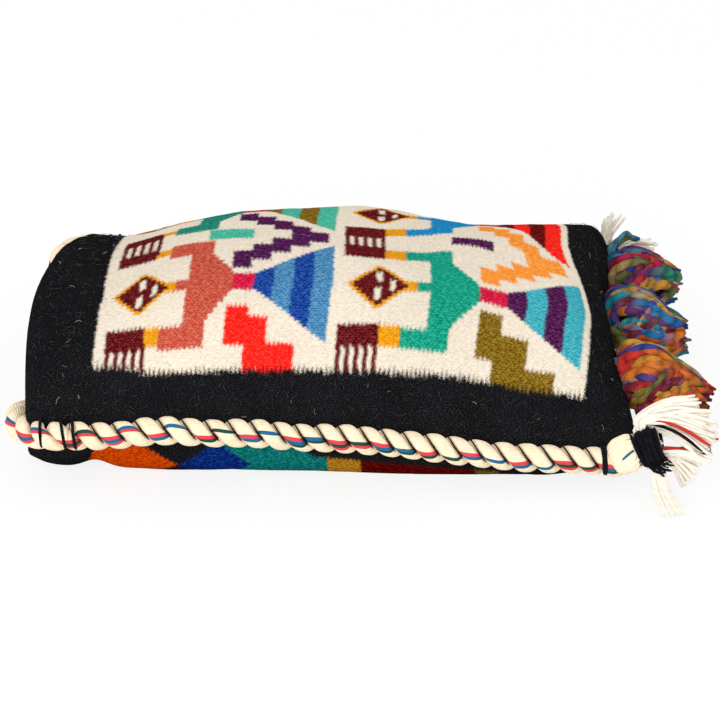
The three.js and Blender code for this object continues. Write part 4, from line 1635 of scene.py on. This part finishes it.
def wool_tassel(y, length, drop, seed):
    """A hank of yarns round a core painted in a shadow colour as painted shade between them, with hairs all
    over it.
    """
    def axis_at(share):
        return hank_axis(y, length, drop, share)

    source = random.Random(seed)
    strands = Strands()
    # Core under the yarns, painted as shade that shows through the gaps between them
    share = np.linspace(*CORE_STATIONS)
    turns = np.arange(CORE_SIDES) * (FULL_TURN / CORE_SIDES)
    around = [on_hank(axis_at, share, turn, HANK_CORE) for turn in turns]
    strands.rings(np.stack(around, 1), share * length, SHADED_CORE_MARKS + seed)
    routes = []
    for step in shares_of(HANK_OUTER):
        place = mix(-OUTER_PLACE, OUTER_PLACE, step)
        routes.append(folded_yarn(source, axis_at, place, source.uniform(*OUTER_LAYERS)))
    for number in range(HANK_INNER):
        place = source.uniform(*INNER_PLACES)
        routes.append(folded_yarn(source, axis_at, place, source.uniform(*INNER_LAYERS)))
    routes.extend([looped_yarn(source, axis_at) for number in range(HANK_LOOPS)])
    routes.extend([loose_yarn(source, axis_at) for number in range(LOOSE_YARNS)])
    marked = []
    for number, route in enumerate(routes):
        line = above_ground(smooth_line(route, WOOL_POINTS), WOOL_YARN)
        mark = seed * HANK_MARKS + 1 + number
        strands.yarn(line, WOOL_YARN * source.uniform(*WOOL_WIDTHS), mark, sides=WOOL_SIDES, tip=WOOL_TIP)
        marked.append((line, mark))
    add_hairs(strands, source, marked, WOOL_HAIRS, HAIR_LENGTHS)
    return strands


def tassel_stitches(strands, y, count):
    """Short stitches of teal yarn from the tassel over the edge of the cloth."""
    for number in range(count):
        share = np.linspace(*STITCH_SEARCH)
        surface = on_front(share, np.full(len(share), y + STITCH_PITCH * (number - 1)))
        route = at_lengths(surface, lengths_along(surface), STITCH_LENGTHS)
        route[1:] += STITCH_OUT
        line = smooth_line([*route, route[-1] + STITCH_END], STITCH_POINTS)
        strands.yarn(line, STITCH, number)


def far_loop(source, share):
    """A yarn of the far tassel that strays up over the far corner."""
    start = FAR_LOOP_START + jitter(source, 1)
    top = start + np.array(FAR_LOOP_TOP) + jitter(source, 1)
    return [start, start + np.array(FAR_LOOP_RISE), top, start + mix(*FAR_LOOP_TIPS, share)]


def edge_loop(source, start, end):
    """A yarn along the bottom edge of the cloth from one place across it to another."""
    y = np.linspace(start, end, len(EDGE_LOOP_OUT)) + source.uniform(*EDGE_LOOP_SHIFT)
    edge = bottom_edge(y)
    out = edge + np.array(EDGE_LOOP_OUT) * source.uniform(*EDGE_LOOP_OUTS)
    sag = np.array(EDGE_LOOP_SAG) * source.uniform(*EDGE_LOOP_SAGS)
    height = seam_height(edge, y) + sag + source.uniform(*EDGE_LOOP_LIFT)
    route = np.stack([out, y, height], -1) + [jitter(source, 1) for place in y]
    return smooth_line(route, EDGE_LOOP_POINTS)


for number, (label, (share_across, length, drop)) in enumerate(WOOL_TASSELS.items()):
    y = share_across * half_width
    tassel = wool_tassel(y, length, drop, number + 1)
    tassel_stitches(tassel, y, STITCHED[label])
    mark = EDGE_LOOP_MARKS + EDGE_LOOP_MARK_STEP * number
    for loop in range(EDGE_LOOPS):
        line = edge_loop(source, *EDGE_LOOP_ENDS[label])
        tassel.yarn(line, WOOL_YARN, mark + loop, sides=WOOL_SIDES)
    if label == "far":
        first_loop = TEAL_YARNS - FAR_TEAL_LOOPS
        sprayed(tassel, source, shares_of(FAR_LOOPS), far_loop, first_loop, FAR_LOOP_YARN)
    tassel.make(label + "_dyed_tassel", dyed_look, "dyed_yarn", (label + "_wool_tassel",))

# Stray fibres on the black border
fibre_look = fuzz_finish()
fibres = Strands()
source = random.Random(FIBRE_SEED)
in_field = (front_along > FIELD_ALONG[0]) & (front_along < FIELD_ALONG[1])
in_field &= (front_across > FIELD_ACROSS[0]) & (front_across < FIELD_ACROSS[1])
border_places = np.argwhere(~in_field[FIBRE_ROWS, FIBRE_COLUMNS])
border_places += (FIBRE_ROWS.start, FIBRE_COLUMNS.start)
for number in range(FIBRES):
    row, column = border_places[source.randrange(len(border_places))]
    start = front_points[row, column]
    normal = front_normals[row, column]
    length = source.uniform(*FIBRE_LENGTHS)
    heading = jitter(source, 1)
    heading = unit(heading - normal * heading.dot(normal))
    bend = np.cross(normal, heading) * source.uniform(*FIBRE_BENDS)
    middle = start + heading * length * FIBRE_REACHES[0] + normal * FIBRE_RISE
    tip = start + (heading + bend) * length * FIBRE_REACHES[1] + normal * source.uniform(*FIBRE_TIPS)
    line = smooth_line([start + normal * FIBRE_ROOT, middle, tip], FIBRE_POINTS)
    fibres.yarn(line, FIBRE, number, sides=3)
fibres.make("stray_wool_fibres", fibre_look, "front_cloth")

# Floor, light and surroundings
half_floor = FLOOR_SIZE / 2
corners = [(x * half_floor, y * half_floor, -FLOOR_DEPTH) for x, y in FLOOR_CORNERS]
floor_mesh = bpy.data.meshes.new("floor")
floor_mesh.from_pydata(corners, [], [(0, 1, 2, 3)])
floor_mesh.materials.append(floor_finish().material)
floor = put("floor", floor_mesh)

key_data = bpy.data.lights.new("key_light", "AREA")
key_data.energy = KEY_POWER
key_data.size = KEY_SIZE
key = put("key_light", key_data)
key.location = KEY_PLACE
aim(key, -Vector(KEY_PLACE))

world = bpy.data.worlds.new("surroundings")
world.use_nodes = True
sky = Nodes(world.node_tree)
background = world.node_tree.nodes["Background"]
background.inputs["Color"].default_value = WHITE
sky.join(sky.white_rays() * (1 - AMBIENT) + AMBIENT, background.inputs["Strength"])
bpy.context.scene.world = world
bpy.context.scene.view_settings.view_transform = "Standard"
